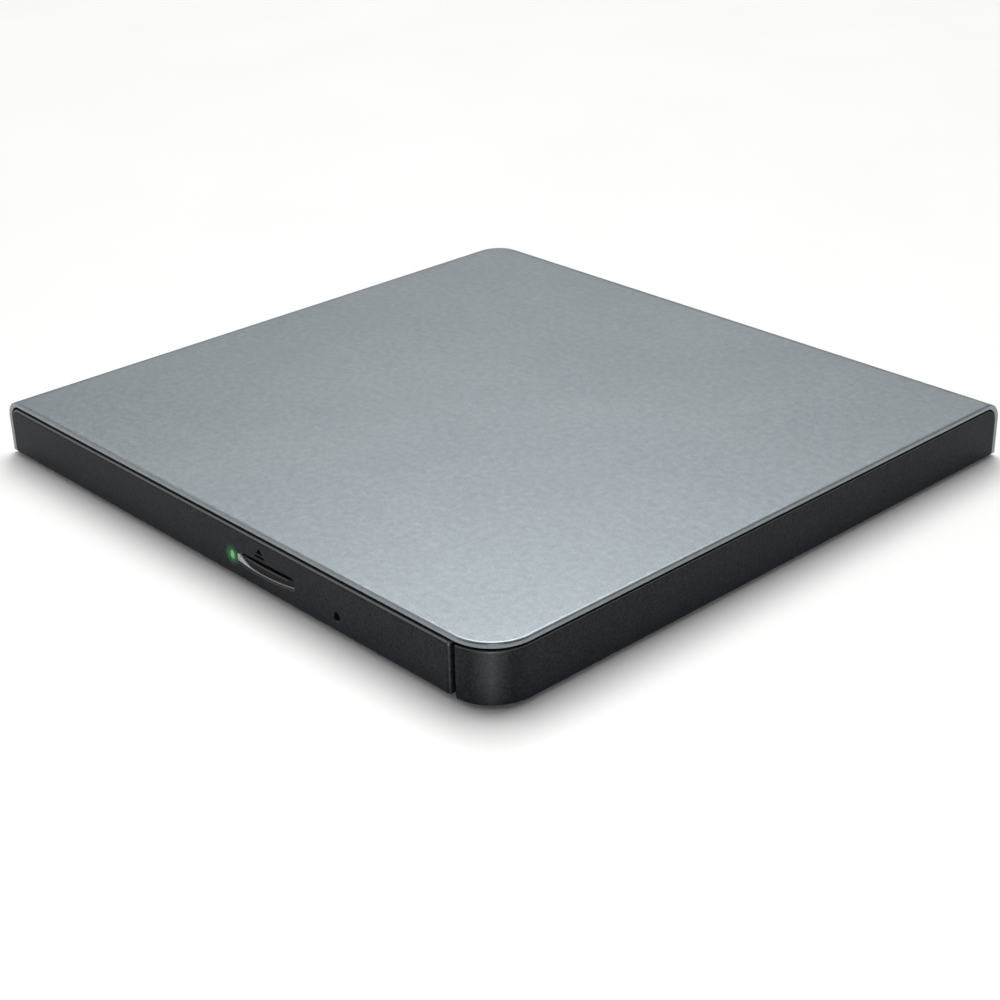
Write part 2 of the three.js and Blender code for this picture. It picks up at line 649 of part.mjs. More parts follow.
// The boat-shaped opening: straight along the top, a shallow arc along the bottom.
function buttonOpening() {
  const shape = new THREE.Shape();
  shape.moveTo(5.8, BASE + 3.35);
  shape.quadraticCurveTo(13.5, BASE + 2.1, BUTTON_RIGHT, BASE + 3.7);
  shape.lineTo(BUTTON_RIGHT, BUTTON_RIGHT_TOP - 0.3);
  shape.lineTo(BUTTON_RIGHT - 0.3, BUTTON_RIGHT_TOP);
  shape.lineTo(BUTTON_LEFT_TOP.x, BUTTON_LEFT_TOP.z);
  shape.lineTo(5.8, BASE + 5);
  return shape;
}

// The pale crescent along the opening's lower edge, thick at the left and thin at the right.
function crescentOutline() {
  const edge = 0.06;
  const shape = new THREE.Shape();
  shape.moveTo(CRESCENT_TIP.x + edge, BASE + 3.45);
  shape.quadraticCurveTo(13.5, BASE + 2.2, BUTTON_RIGHT - 0.1, BASE + 3.8);
  shape.lineTo(BUTTON_RIGHT - 0.1, BASE + 4.12);
  shape.quadraticCurveTo(16, BASE + 3.05, 10.7, BASE + 3.32);
  shape.quadraticCurveTo(8.2, BASE + 3.7, 6.6, BASE + 4.85);
  shape.lineTo(CRESCENT_TIP.x + edge, CRESCENT_TIP.z);
  return shape;
}

function trayBezel() {
  const ease = 0.55;
  const outline = cornered(BEZEL_LEFT, BEZEL_RIGHT, BASE, BEZEL_TOP, [0.6, 0.6, 0.7, 2.6]);
  const geometry = new THREE.ExtrudeGeometry(outline, {
    depth: BEZEL_THICK - 2 * ease,
    bevelEnabled: true,
    bevelThickness: ease,
    bevelSize: ease,
    bevelOffset: -ease,
    bevelSegments: 2,
    curveSegments: 3,
  });
  geometry.rotateX(Math.PI / 2);
  geometry.translate(0, BEZEL_BACK - ease, 0);
  const led = ledSection(0.08);
  return cut(
    solid(geometry),
    frontPrism(buttonOpening(), FRONT - 1, BEZEL_BACK + 1, 12),
    frontPrism(led, FRONT - 1, BEZEL_BACK + 1, 6),
    barY(FRONT - 1, BEZEL_BACK + 1, PINHOLE_X, PINHOLE_Z, PINHOLE_RADIUS, 24),
  );
}

function ledSection(grow) {
  const halfWidth = 0.5 + grow;
  const halfHeight = 0.85 + grow;
  const radii = Array(4).fill(halfWidth * 0.95);
  return cornered(LED_X - halfWidth, LED_X + halfWidth, LED_Z - halfHeight, LED_Z + halfHeight, radii);
}

function statusLed() {
  return join(
    frontPrism(ledSection(0), FRONT + 0.05, TRAY_FRONT + 0.6, 6),
    box(LED_X - 1.2, LED_X + 1.2, TRAY_FRONT + 0.4, TRAY_FRONT + 3.4, 4.1, 5.7),
  );
}

function ledLightGuide() {
  return frontPrism(crescentOutline(), FRONT + 0.25, FRONT + 1.9, 12);
}

// The button's face fills the opening above the crescent; its stem reaches the switch.
function ejectButton() {
  const face = new THREE.Shape();
  face.moveTo(7.3, BASE + 4.95);
  face.quadraticCurveTo(8.6, BASE + 4.0, 11, BASE + 3.62);
  face.quadraticCurveTo(16, BASE + 3.38, BUTTON_RIGHT - 0.35, BASE + 4.45);
  face.lineTo(BUTTON_RIGHT - 0.35, BUTTON_RIGHT_TOP - 0.4);
  const half = 1.5;
  const middle = BUTTON_CENTRE_X;
  const stem = box(middle - half, middle + half, FRONT + 1.6, TRAY_FRONT + 1.6, BASE + 4.0, BASE + 5.0);
  return join(frontPrism(face, FRONT + BUTTON_SETBACK, FRONT + 2.1, 8), stem);
}

function frontBoard() {
  return box(2, 29, TRAY_FRONT + 1.5, -56.5, 3.45, 3.95);
}

function ejectSwitch() {
  return join(
    box(BUTTON_CENTRE_X - 2.2, BUTTON_CENTRE_X + 2.2, -62.4, -58.6, 4.05, 6.2),
    box(BUTTON_CENTRE_X - 0.7, BUTTON_CENTRE_X + 0.7, -63.4, -62.2, 4.7, 5.5),
  );
}

// Solenoid, hook and emergency slider of the tray lock, under the tray's right arm.
const HOOK = { x: 51.4, y: -59.5, z0: 3.6, z1: 4.7 };

function latchSolenoid() {
  return join(
    box(45.6, 49.3, -60, -53.5, 3.5, 6.1),
    barY(-54, -52.2, 47.4, 4.8, 0.8, 12),
  );
}

// The hook's barb reaches behind the chassis post once it has turned by its full travel.
function latchHook() {
  const thick = HOOK.z1 - HOOK.z0;
  const arm = polygon([
    [-0.9, -0.9], [3.2, -0.9], [3.2, 0.6], [0.9, 0.6], [0.9, 8], [-1.7, 10.4], [-1.7, 13.4], [0.2, 13.6],
    [0.7, 14], [0.4, 14.9], [-3.2, 14.9], [-3.2, 9.6], [-0.9, 7.4],
  ]);
  const eye = post(0, 0, 1.7, 0, thick, 20);
  return cut(join(prism(arm, 0, thick), eye), post(0, 0, 0.8, -1, 3, 16));
}

// A bar behind the release hole; its finger turns the hook back when a pin pushes it.
function emergencySlider() {
  return join(
    box(PINHOLE_X - 1.2, 54.5, -64, -62.8, 3.6, 4.7),
    box(PINHOLE_X - 1.2, PINHOLE_X + 1.2, -64.6, -63.9, 3.6, 4.7),
    box(53.3, 54.5, -62.9, -61.9, 3.6, 4.7),
  );
}

// A sprung plunger at the tray's rear that starts it moving out.
const EJECTOR_X = 26;

function trayEjector() {
  const half = 1.8;
  const length = 15.8;
  const rear = TRAY_REAR - 0.2;
  return box(EJECTOR_X - half, EJECTOR_X + half, rear - length, rear, 3.9, 6.1);
}

function latchGroup() {
  const hook = piece("latch_hook", latchHook(), STEEL);
  hook.position.set(HOOK.x, HOOK.y, HOOK.z0);
  return group(
    piece("latch_solenoid", latchSolenoid(), DARK_STEEL),
    hook,
    piece("emergency_slider", emergencySlider(), WHITE_PLASTIC),
    piece("tray_ejector", trayEjector(), WHITE_PLASTIC),
  );
}

function trayGroup() {
  return group(
    piece("disc_tray", discTray(), TRAY_BLACK),
    piece("tray_bezel", trayBezel(), CASE_BLACK),
    piece("tray_bottom_shield", trayBottomShield(), STEEL),
    piece("led_light_guide", ledLightGuide(), PALE_CLEAR),
    piece("status_led", statusLed(), GREEN_LIGHT),
    piece("eject_button", ejectButton(), BUTTON_BLACK),
    piece("front_board", frontBoard(), BOARD_GREEN),
    piece("eject_switch", ejectSwitch(), CHIP_BLACK),
    latchGroup(),
  );
}

// ---------------------------------------------------------------- pickup mechanism
const CHASSIS_SHEET = 0.6;
const DAMPER_PLACES = [[-12.2, -11.5], [-9.5, 13.6], [66, 15.2]];
const DAMPER_RADIUS = 2.2;

function traverseChassis() {
  const plateTop = SKIRT_UNDER + CHASSIS_SHEET;
  const plate = prism(polygon(grownOutline(TRAVERSE_OUTLINE, -1.8)), SKIRT_UNDER, plateTop);
  const windowEdge = polygon([[13.6, -15.6], [60.8, -15.6], [66, -9], [66, 9], [60.8, 15.6], [13.6, 15.6]]);
  const ear = post(66, 15.2, DAMPER_RADIUS + 0.5, SKIRT_UNDER, plateTop, 20);
  const screwSide = join(
    box(-5.5, 80, -40, -16.9, 0, TOP),
    box(SCREW_START - MOTOR_LENGTH - 0.3, SCREW_START + 0.6, -40, -15.7, 0, TOP),
  );
  const rodSeats = [-ROD_OFFSET, ROD_OFFSET].map((v) => (
    box(8.6, 12, v - 1.8, v + 1.8, SKIRT_UNDER, ROD_Z - ROD_RADIUS - 0.1)
  ));
  const outerSeat = box(66.4, 67.6, -9, 9, SKIRT_UNDER, ROD_Z + 0.6);
  const screwBracket = box(SCREW_END + 0.3, SCREW_END + 1.5, SCREW_OFFSET - 1.5, -16, SKIRT_UNDER, ROD_Z + 1);
  const motorX = SCREW_START - MOTOR_LENGTH - 0.3;
  const motorTab = box(motorX - 1, motorX, SCREW_OFFSET - 2.2, -16, SKIRT_UNDER, ROD_Z + 1.2);
  const damperHoles = DAMPER_PLACES.map(([u, v]) => post(u, v, DAMPER_RADIUS - 0.6, 0, 10, 16));
  const window = prism(windowEdge, 0, 10);
  const trimmed = cut(join(plate, ear), screwSide, window, post(0, 0, 5, 0, 10, 28), ...damperHoles);
  return join(trimmed, ...rodSeats, outerSeat, screwBracket, motorTab);
}

// A grooved rubber bush in the chassis plate.
function damper() {
  const waist = DAMPER_RADIUS - 0.8;
  const z0 = SKIRT_UNDER - 0.1;
  const z1 = SKIRT_UNDER + CHASSIS_SHEET + 0.1;
  const hole = 0.7;
  return turned([
    [0, z0 + 0.05], [waist, z0 + 0.05], [waist, z1 + 0.1], [DAMPER_RADIUS, z1 + 0.1],
    [DAMPER_RADIUS, z1 + 1.6], [hole, z1 + 1.6], [hole, z1 + 1], [0, z1 + 1],
  ], 18);
}

const STATOR_POLES = 9;

function spindleStator() {
  const bearing = ring(0, 0, 1.4, 4.4, SKIRT_UNDER + 0.1, 6.5, 16);
  const plate = ring(0, 0, 1.4, 12.6, 4.3, 4.8, 24);
  const core = ring(0, 0, 4, 10.5, 4.6, 6.5, 24);
  const slots = Array.from({ length: STATOR_POLES }, (_, i) => statorSlot(i * 360 / STATOR_POLES));
  return cut(join(bearing, plate, core), ...slots);
}

// The narrow gap between two poles of the stator.
function statorSlot(degrees) {
  const slot = new THREE.BoxGeometry(6, 0.9, 4);
  slot.translate(8.6, 0, 6.9);
  slot.rotateZ(THREE.MathUtils.degToRad(degrees));
  return solid(slot);
}

const TABLE_TOP = 8.1;
const TABLE_RADIUS = 13.2;

function rotorCup() {
  return turned([
    [0, 3.6], [1.1, 3.6], [1.1, 6.9], [11.1, 6.9], [11.1, 5.1], [11.9, 5.1], [11.9, 7.3], [TABLE_RADIUS, 7.3],
    [TABLE_RADIUS, TABLE_TOP], [0, TABLE_TOP],
  ], 30);
}

function turntablePad() {
  return ring(0, 0, 10.4, 13, TABLE_TOP + 0.05, DISC_UNDER, 30);
}

const HUB_RADIUS = 7.4;
const HUB_TOP = 10;

function centringHub() {
  const body = turned([
    [0, TABLE_TOP + 0.1], [9.2, TABLE_TOP + 0.1], [9.2, TABLE_TOP + 0.25], [HUB_RADIUS, TABLE_TOP + 0.4],
    [HUB_RADIUS, HUB_TOP - 0.8], [HUB_RADIUS - 0.3, HUB_TOP - 0.3], [HUB_RADIUS - 0.9, HUB_TOP],
    [2.4, HUB_TOP], [2, HUB_TOP - 0.35], [0, HUB_TOP - 0.35],
  ], 30);
  const slots = [0, 120, 240].map((degrees) => {
    const slot = new THREE.BoxGeometry(4.6, 3.2, 2);
    slot.translate(6.1, 0, TABLE_TOP + 0.6 + 1);
    slot.rotateZ(THREE.MathUtils.degToRad(degrees));
    return solid(slot);
  });
  return cut(body, ...slots);
}

// A claw's profile across the hub: it leans out at the height of the disc's upper edge.
function hubClaw() {
  const profile = polygon([[4.7, 8.95], [7.2, 8.95], [7.75, 9.25], [7.85, 9.55], [7.1, 9.95], [4.7, 9.95]]);
  return frontPrism(profile, -1.3, 1.3);
}

// The sled's plan about the lens, narrower towards the disc's edge.
const SLED_OUTLINE = [[-9, -15], [2, -15], [7.2, -8.5], [7.2, 8.5], [2, 15], [-9, 15]];
const SLED_TOP = 6.6;
const LENS_POCKET = { halfX: 5.2, halfY: 4.4 };

function pickupSled() {
  const body = prism(polygon(SLED_OUTLINE), 3.5, SLED_TOP);
  const bores = [-ROD_OFFSET, ROD_OFFSET].map((v) => join(
    barX(-30, 30, v, ROD_Z, ROD_RADIUS + 0.12, 14),
    box(-4.5, 1.5, v - 2, v + 2, 2, 7),
  ));
  const pocket = box(-LENS_POCKET.halfX, LENS_POCKET.halfX, -LENS_POCKET.halfY, LENS_POCKET.halfY, 4.8, 10);
  return cut(body, ...bores, pocket);
}

function sledFollower() {
  return join(
    box(-7.6, -2, -16.2, -15.2, 4.3, 6.75),
    box(-7.6, -2, -20.4, -15.4, 6.35, 6.75),
  );
}

function lensHolder() {
  const frame = prism(cornered(-4.4, 4.4, -3.6, 3.6, [0.8, 0.8, 0.8, 0.8]), 5.4, 7.4, 3);
  return cut(frame, post(0, 0, 2.1, 6.4, 9, 28), post(0, 0, 1.4, 5, 9, 20));
}

function objectiveLens() {
  return turned([[0, 6.5], [1.95, 6.5], [1.95, 7.15], [1.7, 7.4], [1.1, 7.62], [0.5, 7.72], [0, 7.75]], 28);
}

function guideRod() {
  return barX(9, 65.8, 0, ROD_Z, ROD_RADIUS, 14);
}

// A flat-sided stepper motor whose shaft is the lead screw.
function sledMotor() {
  const can = barX(0, MOTOR_LENGTH, 0, 0, 2.9, 24);
  const flats = box(-1, MOTOR_LENGTH + 1, -4, 4, -1.6, 1.6);
  return cut(can.intersect(flats), barX(MOTOR_LENGTH - 3, MOTOR_LENGTH + 1, 0, 0, SCREW_RADIUS + 0.35, 16));
}

function leadScrew() {
  const threadPitch = 3;
  const rings = [];
  for (let x = SCREW_START + 2.5; x < SCREW_END - 1; x += threadPitch) {
    rings.push(barX(x, x + 1.4, 0, 0, SCREW_RADIUS, 8));
  }
  return join(barX(SCREW_START - 2, SCREW_END, 0, 0, SCREW_RADIUS * 0.75, 8), ...rings);
}

function traverseCover() {
  const plate = prism(polygon(grownOutline(TRAVERSE_OUTLINE, -1.6)), 7, 7.3);
  const slot = prism(cornered(10, 64.5, -7, 7, [1.5, 1.5, 1.5, 1.5]), 0, 20, 3);
  return cut(plate, slot, post(0, 0, TABLE_RADIUS + 0.5, 0, 20, 36));
}

function traverseGroup() {
  const dampers = DAMPER_PLACES.map(([u, v], i) => {
    const mesh = piece(`damper_${i + 1}`, damper(), RUBBER);
    mesh.position.set(u, v, 0);
    return mesh;
  });
  const claws = [0, 120, 240].map((degrees, i) => {
    const mesh = piece(`hub_claw_${i + 1}`, hubClaw(), WHITE_PLASTIC);
    mesh.rotation.z = THREE.MathUtils.degToRad(degrees);
    return mesh;
  });
  const rods = [-ROD_OFFSET, ROD_OFFSET].map((v, i) => {
    const mesh = piece(`guide_rod_${i + 1}`, guideRod(), STEEL);
    mesh.position.set(0, v, 0);
    return mesh;
  });
  const sled = group(
    piece("pickup_sled", pickupSled(), DARK_STEEL),
    piece("sled_follower", sledFollower(), WHITE_PLASTIC),
    piece("lens_holder", lensHolder(), CHIP_BLACK),
    piece("objective_lens", objectiveLens(), GLASS),
  );
  sled.position.set(LENS_REST, 0, 0);
  const motor = piece("sled_motor", sledMotor(), STEEL);
  motor.position.set(SCREW_START - MOTOR_LENGTH, SCREW_OFFSET, ROD_Z);
  const screw = piece("lead_screw", leadScrew(), BRASS);
  screw.position.set(0, SCREW_OFFSET, ROD_Z);
  const result = group(
    piece("traverse_chassis", traverseChassis(), STEEL),
    piece("spindle_stator", spindleStator(), DARK_STEEL),
    piece("rotor_cup", rotorCup(), STEEL),
    piece("turntable_pad", turntablePad(), RUBBER),
    piece("centring_hub", centringHub(), CHIP_BLACK),
    piece("traverse_cover", traverseCover(), TRAY_BLACK),
    ...dampers, ...claws, ...rods, sled, motor, screw,
  );
  result.position.set(SPINDLE_X, SPINDLE_Y, 0);
  result.rotation.z = THREE.MathUtils.degToRad(TRAVERSE_ANGLE);
  return result;
}

const drive = group(
  caseGroup(), chassisGroup(), boardGroup(), usbGroup(), railGroup(), trayGroup(), traverseGroup(),
);
drive.name = "external_optical_drive";

export default drive;
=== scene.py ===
import json
import math

import bmesh
import bpy
import numpy as np
from mathutils import Matrix, Vector


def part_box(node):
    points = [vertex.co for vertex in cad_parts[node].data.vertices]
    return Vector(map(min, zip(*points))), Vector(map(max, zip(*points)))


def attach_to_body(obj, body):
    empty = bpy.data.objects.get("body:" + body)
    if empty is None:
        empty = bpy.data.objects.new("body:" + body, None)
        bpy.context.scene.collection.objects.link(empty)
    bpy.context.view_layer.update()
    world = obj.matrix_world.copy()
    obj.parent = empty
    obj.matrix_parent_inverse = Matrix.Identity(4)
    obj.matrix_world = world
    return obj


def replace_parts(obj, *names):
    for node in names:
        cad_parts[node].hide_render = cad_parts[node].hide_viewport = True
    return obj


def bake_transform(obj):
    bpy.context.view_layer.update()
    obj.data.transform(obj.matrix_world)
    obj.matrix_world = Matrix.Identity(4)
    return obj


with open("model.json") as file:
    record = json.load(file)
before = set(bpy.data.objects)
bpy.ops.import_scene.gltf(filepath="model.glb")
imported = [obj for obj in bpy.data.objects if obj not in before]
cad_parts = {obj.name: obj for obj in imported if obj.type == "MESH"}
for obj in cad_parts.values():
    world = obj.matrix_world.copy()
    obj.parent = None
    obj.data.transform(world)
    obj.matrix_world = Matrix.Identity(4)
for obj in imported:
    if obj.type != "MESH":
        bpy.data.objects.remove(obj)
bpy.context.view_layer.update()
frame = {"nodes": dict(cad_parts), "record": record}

RECORD = frame["record"]
NODES = frame["nodes"]
SCENE = bpy.context.scene
MM = 0.001
SLOT_OF = {s["node"]: s["material_slot"] for s in RECORD["subparts"]}
BODY_OF = {n: b for b, names in RECORD["behaviour"]["bodies"].items() for n in names}
JOINTS = {j["name"]: j for j in RECORD["behaviour"]["joints"]}


def corners(node):
    """A CAD node's lowest and highest corner, in millimetres."""
    low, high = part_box(node)
    return low / MM, high / MM


def middle(node):
    """The centre of a CAD node's box, in millimetres."""
    low, high = corners(node)
    return (low + high) / 2


# ------------------------------------------------------------------ camera
LENS, SENSOR = 69.07, 36.0  # millimetres
EYE = Vector((0.25952, -0.23825, 0.16359))  # metres
AZIMUTH, ELEVATION, TILT = math.radians(47.375), math.radians(26.289), math.radians(-1.383)


def make_camera():
    back = Vector((
        math.sin(AZIMUTH) * math.cos(ELEVATION),
        -math.cos(AZIMUTH) * math.cos(ELEVATION),
        math.sin(ELEVATION),
    ))
    right = Vector((0, 0, 1)).cross(back).normalized()
    up = back.cross(right)
    across = right * math.cos(TILT) + up * math.sin(TILT)
    upward = up * math.cos(TILT) - right * math.sin(TILT)
    data = bpy.data.cameras.new("camera")
    data.lens, data.sensor_width = LENS, SENSOR
    data.clip_start, data.clip_end = 0.01, 50
    camera = bpy.data.objects.new("camera", data)
    SCENE.collection.objects.link(camera)
    facing = Matrix((across, upward, back)).transposed().to_4x4()
    camera.matrix_world = Matrix.Translation(EYE) @ facing
    SCENE.camera = camera


make_camera()


# ------------------------------------------------------------------ materials
class Shader:
    """A node material under construction. Lengths in its calls are millimetres, but for distance."""

    def __init__(self, name):
        self.material = bpy.data.materials.new(name)
        self.material.use_nodes = True
        self.tree = self.material.node_tree
        self.bsdf = self.tree.nodes["Principled BSDF"]
        self.coords = self.node("ShaderNodeTexCoord").outputs["Object"]

    def node(self, kind, inputs=None, **settings):
        made = self.tree.nodes.new(kind)
        for key, value in settings.items():
            setattr(made, key, value)
        for key, value in (inputs or {}).items():
            self.feed(made.inputs[key], value)
        return made

    def feed(self, socket, value):
        if isinstance(value, bpy.types.NodeSocket):
            self.tree.links.new(value, socket)
        else:
            socket.default_value = value

    def space(self, stretch=(1, 1, 1), turn=0.0):
        scale = tuple(1000 / s for s in stretch)
        turned = self.node("ShaderNodeMapping", {"Vector": self.coords, "Rotation": (0, 0, turn)})
        return self.node("ShaderNodeMapping", {"Vector": turned.outputs[0], "Scale": scale}).outputs[0]

    def noise(self, size, detail=2.0, space=None):
        inputs = {"Vector": space or self.space(), "Scale": 1 / size, "Detail": detail}
        return self.node("ShaderNodeTexNoise", inputs).outputs[0]

    def cells(self, size):
        return self.node("ShaderNodeTexVoronoi", {"Vector": self.space(), "Scale": 1 / size})

    def waves(self, scale, direction):
        """Soft parallel bands that follow one another along an axis."""
        made = self.node(
            "ShaderNodeTexWave", {"Vector": self.space(), "Scale": scale, "Distortion": 0.0},
            wave_type="BANDS", bands_direction=direction,
        )
        return made.outputs["Fac"]

    def distance(self, place):
        """Metres from a place that is given in metres."""
        made = self.node("ShaderNodeVectorMath", {0: self.coords, 1: place}, operation="DISTANCE")
        return made.outputs["Value"]

    def spread(self, value, low, high, to_low=0.0, to_high=1.0):
        """value, clamped between low and high, as its share of the way from to_low to to_high."""
        inputs = {"Value": value, "From Min": low, "From Max": high, "To Min": to_low, "To Max": to_high}
        return self.node("ShaderNodeMapRange", inputs).outputs[0]

    def maths(self, operation, a, b=0.0):
        return self.node("ShaderNodeMath", {0: a, 1: b}, operation=operation).outputs[0]

    def mix(self, factor, a, b):
        made = self.node("ShaderNodeMix", data_type="RGBA")
        self.feed(made.inputs[0], factor)
        self.feed(made.inputs[6], a)
        self.feed(made.inputs[7], b)
        return made.outputs[2]

    def scaled(self, colour, factor):
        made = self.node("ShaderNodeVectorMath", {0: colour}, operation="SCALE")
        self.feed(made.inputs["Scale"], factor)
        return made.outputs[0]

    def bump(self, height, distance, below=None):
        inputs = {"Height": height, "Distance": distance * MM, "Strength": 1.0}
        made = self.node("ShaderNodeBump", inputs)
        if below is not None:
            self.feed(made.inputs["Normal"], below)
        return made.outputs[0]

    def set(self, **values):
        for key, value in values.items():
            self.feed(self.bsdf.inputs[key.replace("_", " ")], value)
        return self


def grey(value, tint=(1, 1, 1)):
    return (value * tint[0], value * tint[1], value * tint[2], 1)


COOL = (0.93, 1.0, 1.07)
INKY = (0.76, 1.0, 1.24)
WARM = (1.05, 1.0, 0.93)


def moulded(name, colour, shade, rough, grain=0.3, height=0.012, speckle=0.15, blotch=9.0, **values):
    """Moulded or rolled stock: broad tone changes, a fine grain in tone, roughness and height."""
    s = Shader(name)
    fine = s.noise(grain, 2.0)
    broad = s.spread(s.noise(blotch, 3.0), 0.35, 0.65)
    tone = s.scaled(s.mix(broad, colour, shade), s.spread(fine, 0.3, 0.7, 1 - speckle, 1 + speckle))
    s.set(Base_Color=tone, Roughness=s.spread(fine, 0.3, 0.7, *rough), Normal=s.bump(fine, height))
    return s.set(**values)


def polished_edges_painted_highlight(s, top, rounding, highlight_grey):
    """A gloss coat on rounded edges, and a painted highlight on the one along the top: a paler tone that
    stands in for the light this edge catches.
    """
    normal = s.node("ShaderNodeTexCoord").outputs["Normal"]
    flat = s.node("ShaderNodeVectorMath", {0: normal}, operation="ABSOLUTE").outputs[0]
    x, y, z = s.node("ShaderNodeSeparateXYZ", {0: flat}).outputs
    away = s.maths("SUBTRACT", 1.0, s.maths("MAXIMUM", x, s.maths("MAXIMUM", y, z)))
    edge = s.spread(away, 0.08, 0.29)
    height = s.node("ShaderNodeSeparateXYZ", {0: s.coords}).outputs[2]
    # Painted highlight: on the rounding along the top, the base colour is mixed towards a pale warm grey.
    upper = s.spread(height, (top - rounding - 0.1) * MM, (top - rounding) * MM)
    tone = s.bsdf.inputs["Base Color"].links[0].from_socket
    tone = s.mix(s.maths("MULTIPLY", edge, upper), tone, grey(highlight_grey, WARM))
    return s.set(Base_Color=tone, Coat_Weight=edge, Coat_Roughness=0.22)


def sheet_metal(name, value, rough, stretch, turn=0.0, tint=(1, 1, 1)):
    """Rolled or drawn metal: fine lines along one direction over a soft cloudy tone."""
    s = Shader(name)
    lines = s.noise(0.12, 3.0, s.space(stretch, turn))
    cloud = s.spread(s.noise(11.0, 3.0), 0.3, 0.7)
    tone = s.mix(cloud, grey(value, tint), grey(value * 0.82, tint))
    tone = s.scaled(tone, s.spread(lines, 0.3, 0.7, 0.9, 1.08))
    return s.set(
        Base_Color=tone, Metallic=1.0, Roughness=s.spread(lines, 0.25, 0.75, *rough),
        Normal=s.bump(lines, 0.0015),
    )


PAINT, PAINT_SHADE = (0.268, 0.300, 0.319, 1), (0.253, 0.284, 0.303, 1)


def satin_paint():
    """Metallic paint: flakes of different brightness under a faintly uneven satin surface."""
    s = Shader("silver_paint")
    flakes = s.cells(0.16)
    glint = s.node("ShaderNodeSeparateColor", {0: flakes.outputs["Color"]}).outputs[0]
    clusters = s.noise(1.5, 4.0)
    cloud = s.spread(s.noise(26.0, 3.0), 0.35, 0.65)
    tone = s.mix(cloud, PAINT, PAINT_SHADE)
    tone = s.scaled(tone, s.spread(glint, 0.0, 1.0, 0.86, 1.14))
    tone = s.scaled(tone, s.spread(clusters, 0.3, 0.7, 0.93, 1.07))
    skin = s.bump(s.noise(1.6, 2.0), 0.004, s.bump(clusters, 0.0035))
    return s.set(
        Base_Color=tone, Metallic=0.8, Roughness=s.spread(glint, 0.0, 1.0, 0.30, 0.42), Normal=skin,
        Specular_IOR_Level=0.5,
    )


# Both tones, the roughness, then the grain's size, height and contrast, of the black housing.
GRAINED = grey(0.022, INKY), grey(0.018, INKY), (0.4, 0.56), 0.42, 0.07, 0.75


# The front panel's top edge is lower than its CAD solid's by GAP, and its front edges have a rounding.
GAP, ROUNDING = 0.1, 0.8
LED_LOW, LED_HIGH = 3.8, 5.66  # the window's lower and upper edge
LED_X = middle("status_led").x
LED_PLACE = Vector((LED_X, corners("status_led")[0].y, (LED_LOW + LED_HIGH) / 2)) * MM


def black_case():
    s = moulded("case_black", *GRAINED, Specular_IOR_Level=0.12)
    # The case's top rim gets a painted highlight in a grey of 0.12.
    return polished_edges_painted_highlight(s, corners("bottom_case")[1].z, 0.3, 0.12)


def lit_bezel():
    """The bezel's plastic, with a painted highlight along its top edge, and the light's green spill painted
    as a glow on the face close round it.
    """
    # The bezel's top edge gets a painted highlight in a grey of 0.17.
    s = polished_edges_painted_highlight(moulded("bezel_black", *GRAINED), corners("tray_bezel")[1].z - GAP, ROUNDING, 0.17)
    # Painted light: emission on the bezel face, strongest next to the LED and gone 2.3 mm from it.
    near = s.spread(s.distance(LED_PLACE), 0.8 * MM, 2.3 * MM, 1.0, 0.0)
    painted_glow = s.maths("MULTIPLY", s.maths("POWER", near, 1.6), 0.2)
    return s.set(Emission_Color=(0.1, 0.62, 0.16, 1), Emission_Strength=painted_glow, Specular_IOR_Level=0.12)


def circuit_board():
    """Solder mask over copper tracks that run both ways, with tinned vias."""
    s = Shader("circuit_board")
    tracks = [s.spread(s.waves(0.32, direction), 0.62, 0.74) for direction in ("X", "Y")]
    where = s.spread(s.noise(7.0, 1.0), 0.49, 0.51)
    blank = s.spread(s.noise(5.0, 1.0, s.space((1, 1, 3))), 0.44, 0.47)
    along = s.maths("MULTIPLY", tracks[0], where)
    across = s.maths("MULTIPLY", tracks[1], s.maths("SUBTRACT", 1.0, where))
    track = s.maths("MULTIPLY", s.maths("ADD", along, across), blank)
    via = s.spread(s.cells(2.3).outputs["Distance"], 0.09, 0.13, 1.0, 0.0)
    tone = s.mix(track, (0.008, 0.075, 0.03, 1), (0.02, 0.17, 0.07, 1))
    tone = s.mix(via, tone, grey(0.6, WARM))
    return s.set(
        Base_Color=tone, Roughness=s.spread(track, 0, 1, 0.42, 0.3), Metallic=via,
        Normal=s.bump(track, 0.03),
    )


def ribbon_film():
    """Amber film with copper conductors running along it."""
    s = Shader("amber_film")
    lines = s.spread(s.waves(0.33, "X"), 0.45, 0.6)
    dusk = s.noise(6.0, 2.0)
    tone = s.mix(lines, (0.42, 0.17, 0.025, 1), (0.62, 0.3, 0.09, 1))
    tone = s.scaled(tone, s.spread(dusk, 0.3, 0.7, 0.85, 1.1))
    rough = s.spread(dusk, 0.3, 0.7, 0.22, 0.34)
    return s.set(Base_Color=tone, Roughness=rough, Normal=s.bump(lines, 0.015))


def coated_glass():
    """The objective lens: clear, with the violet and blue of its coating at the rim."""
    s = Shader("lens_glass")
    facing = s.node("ShaderNodeLayerWeight", {"Blend": 0.35}).outputs["Facing"]
    swirl = s.noise(0.8, 1.0)
    tone = s.mix(s.spread(swirl, 0.4, 0.6), (0.5, 0.62, 0.95, 1), (0.62, 0.5, 0.9, 1))
    rough = s.spread(facing, 0.0, 1.0, 0.02, 0.06)
    return s.set(Base_Color=tone, Roughness=rough, Transmission_Weight=0.55, Coat_Weight=1.0)


def light_guide():
    """The pale satin strip under the button."""
    tones = (0.66, 0.68, 0.68, 1), (0.56, 0.58, 0.58, 1)
    s = moulded("pale_clear", *tones, (0.22, 0.34), 0.5, 0.004, 0.05, 3.0)
    return s.set(Subsurface_Weight=0.25, Subsurface_Scale=0.0004, Subsurface_Radius=(1, 1, 1))


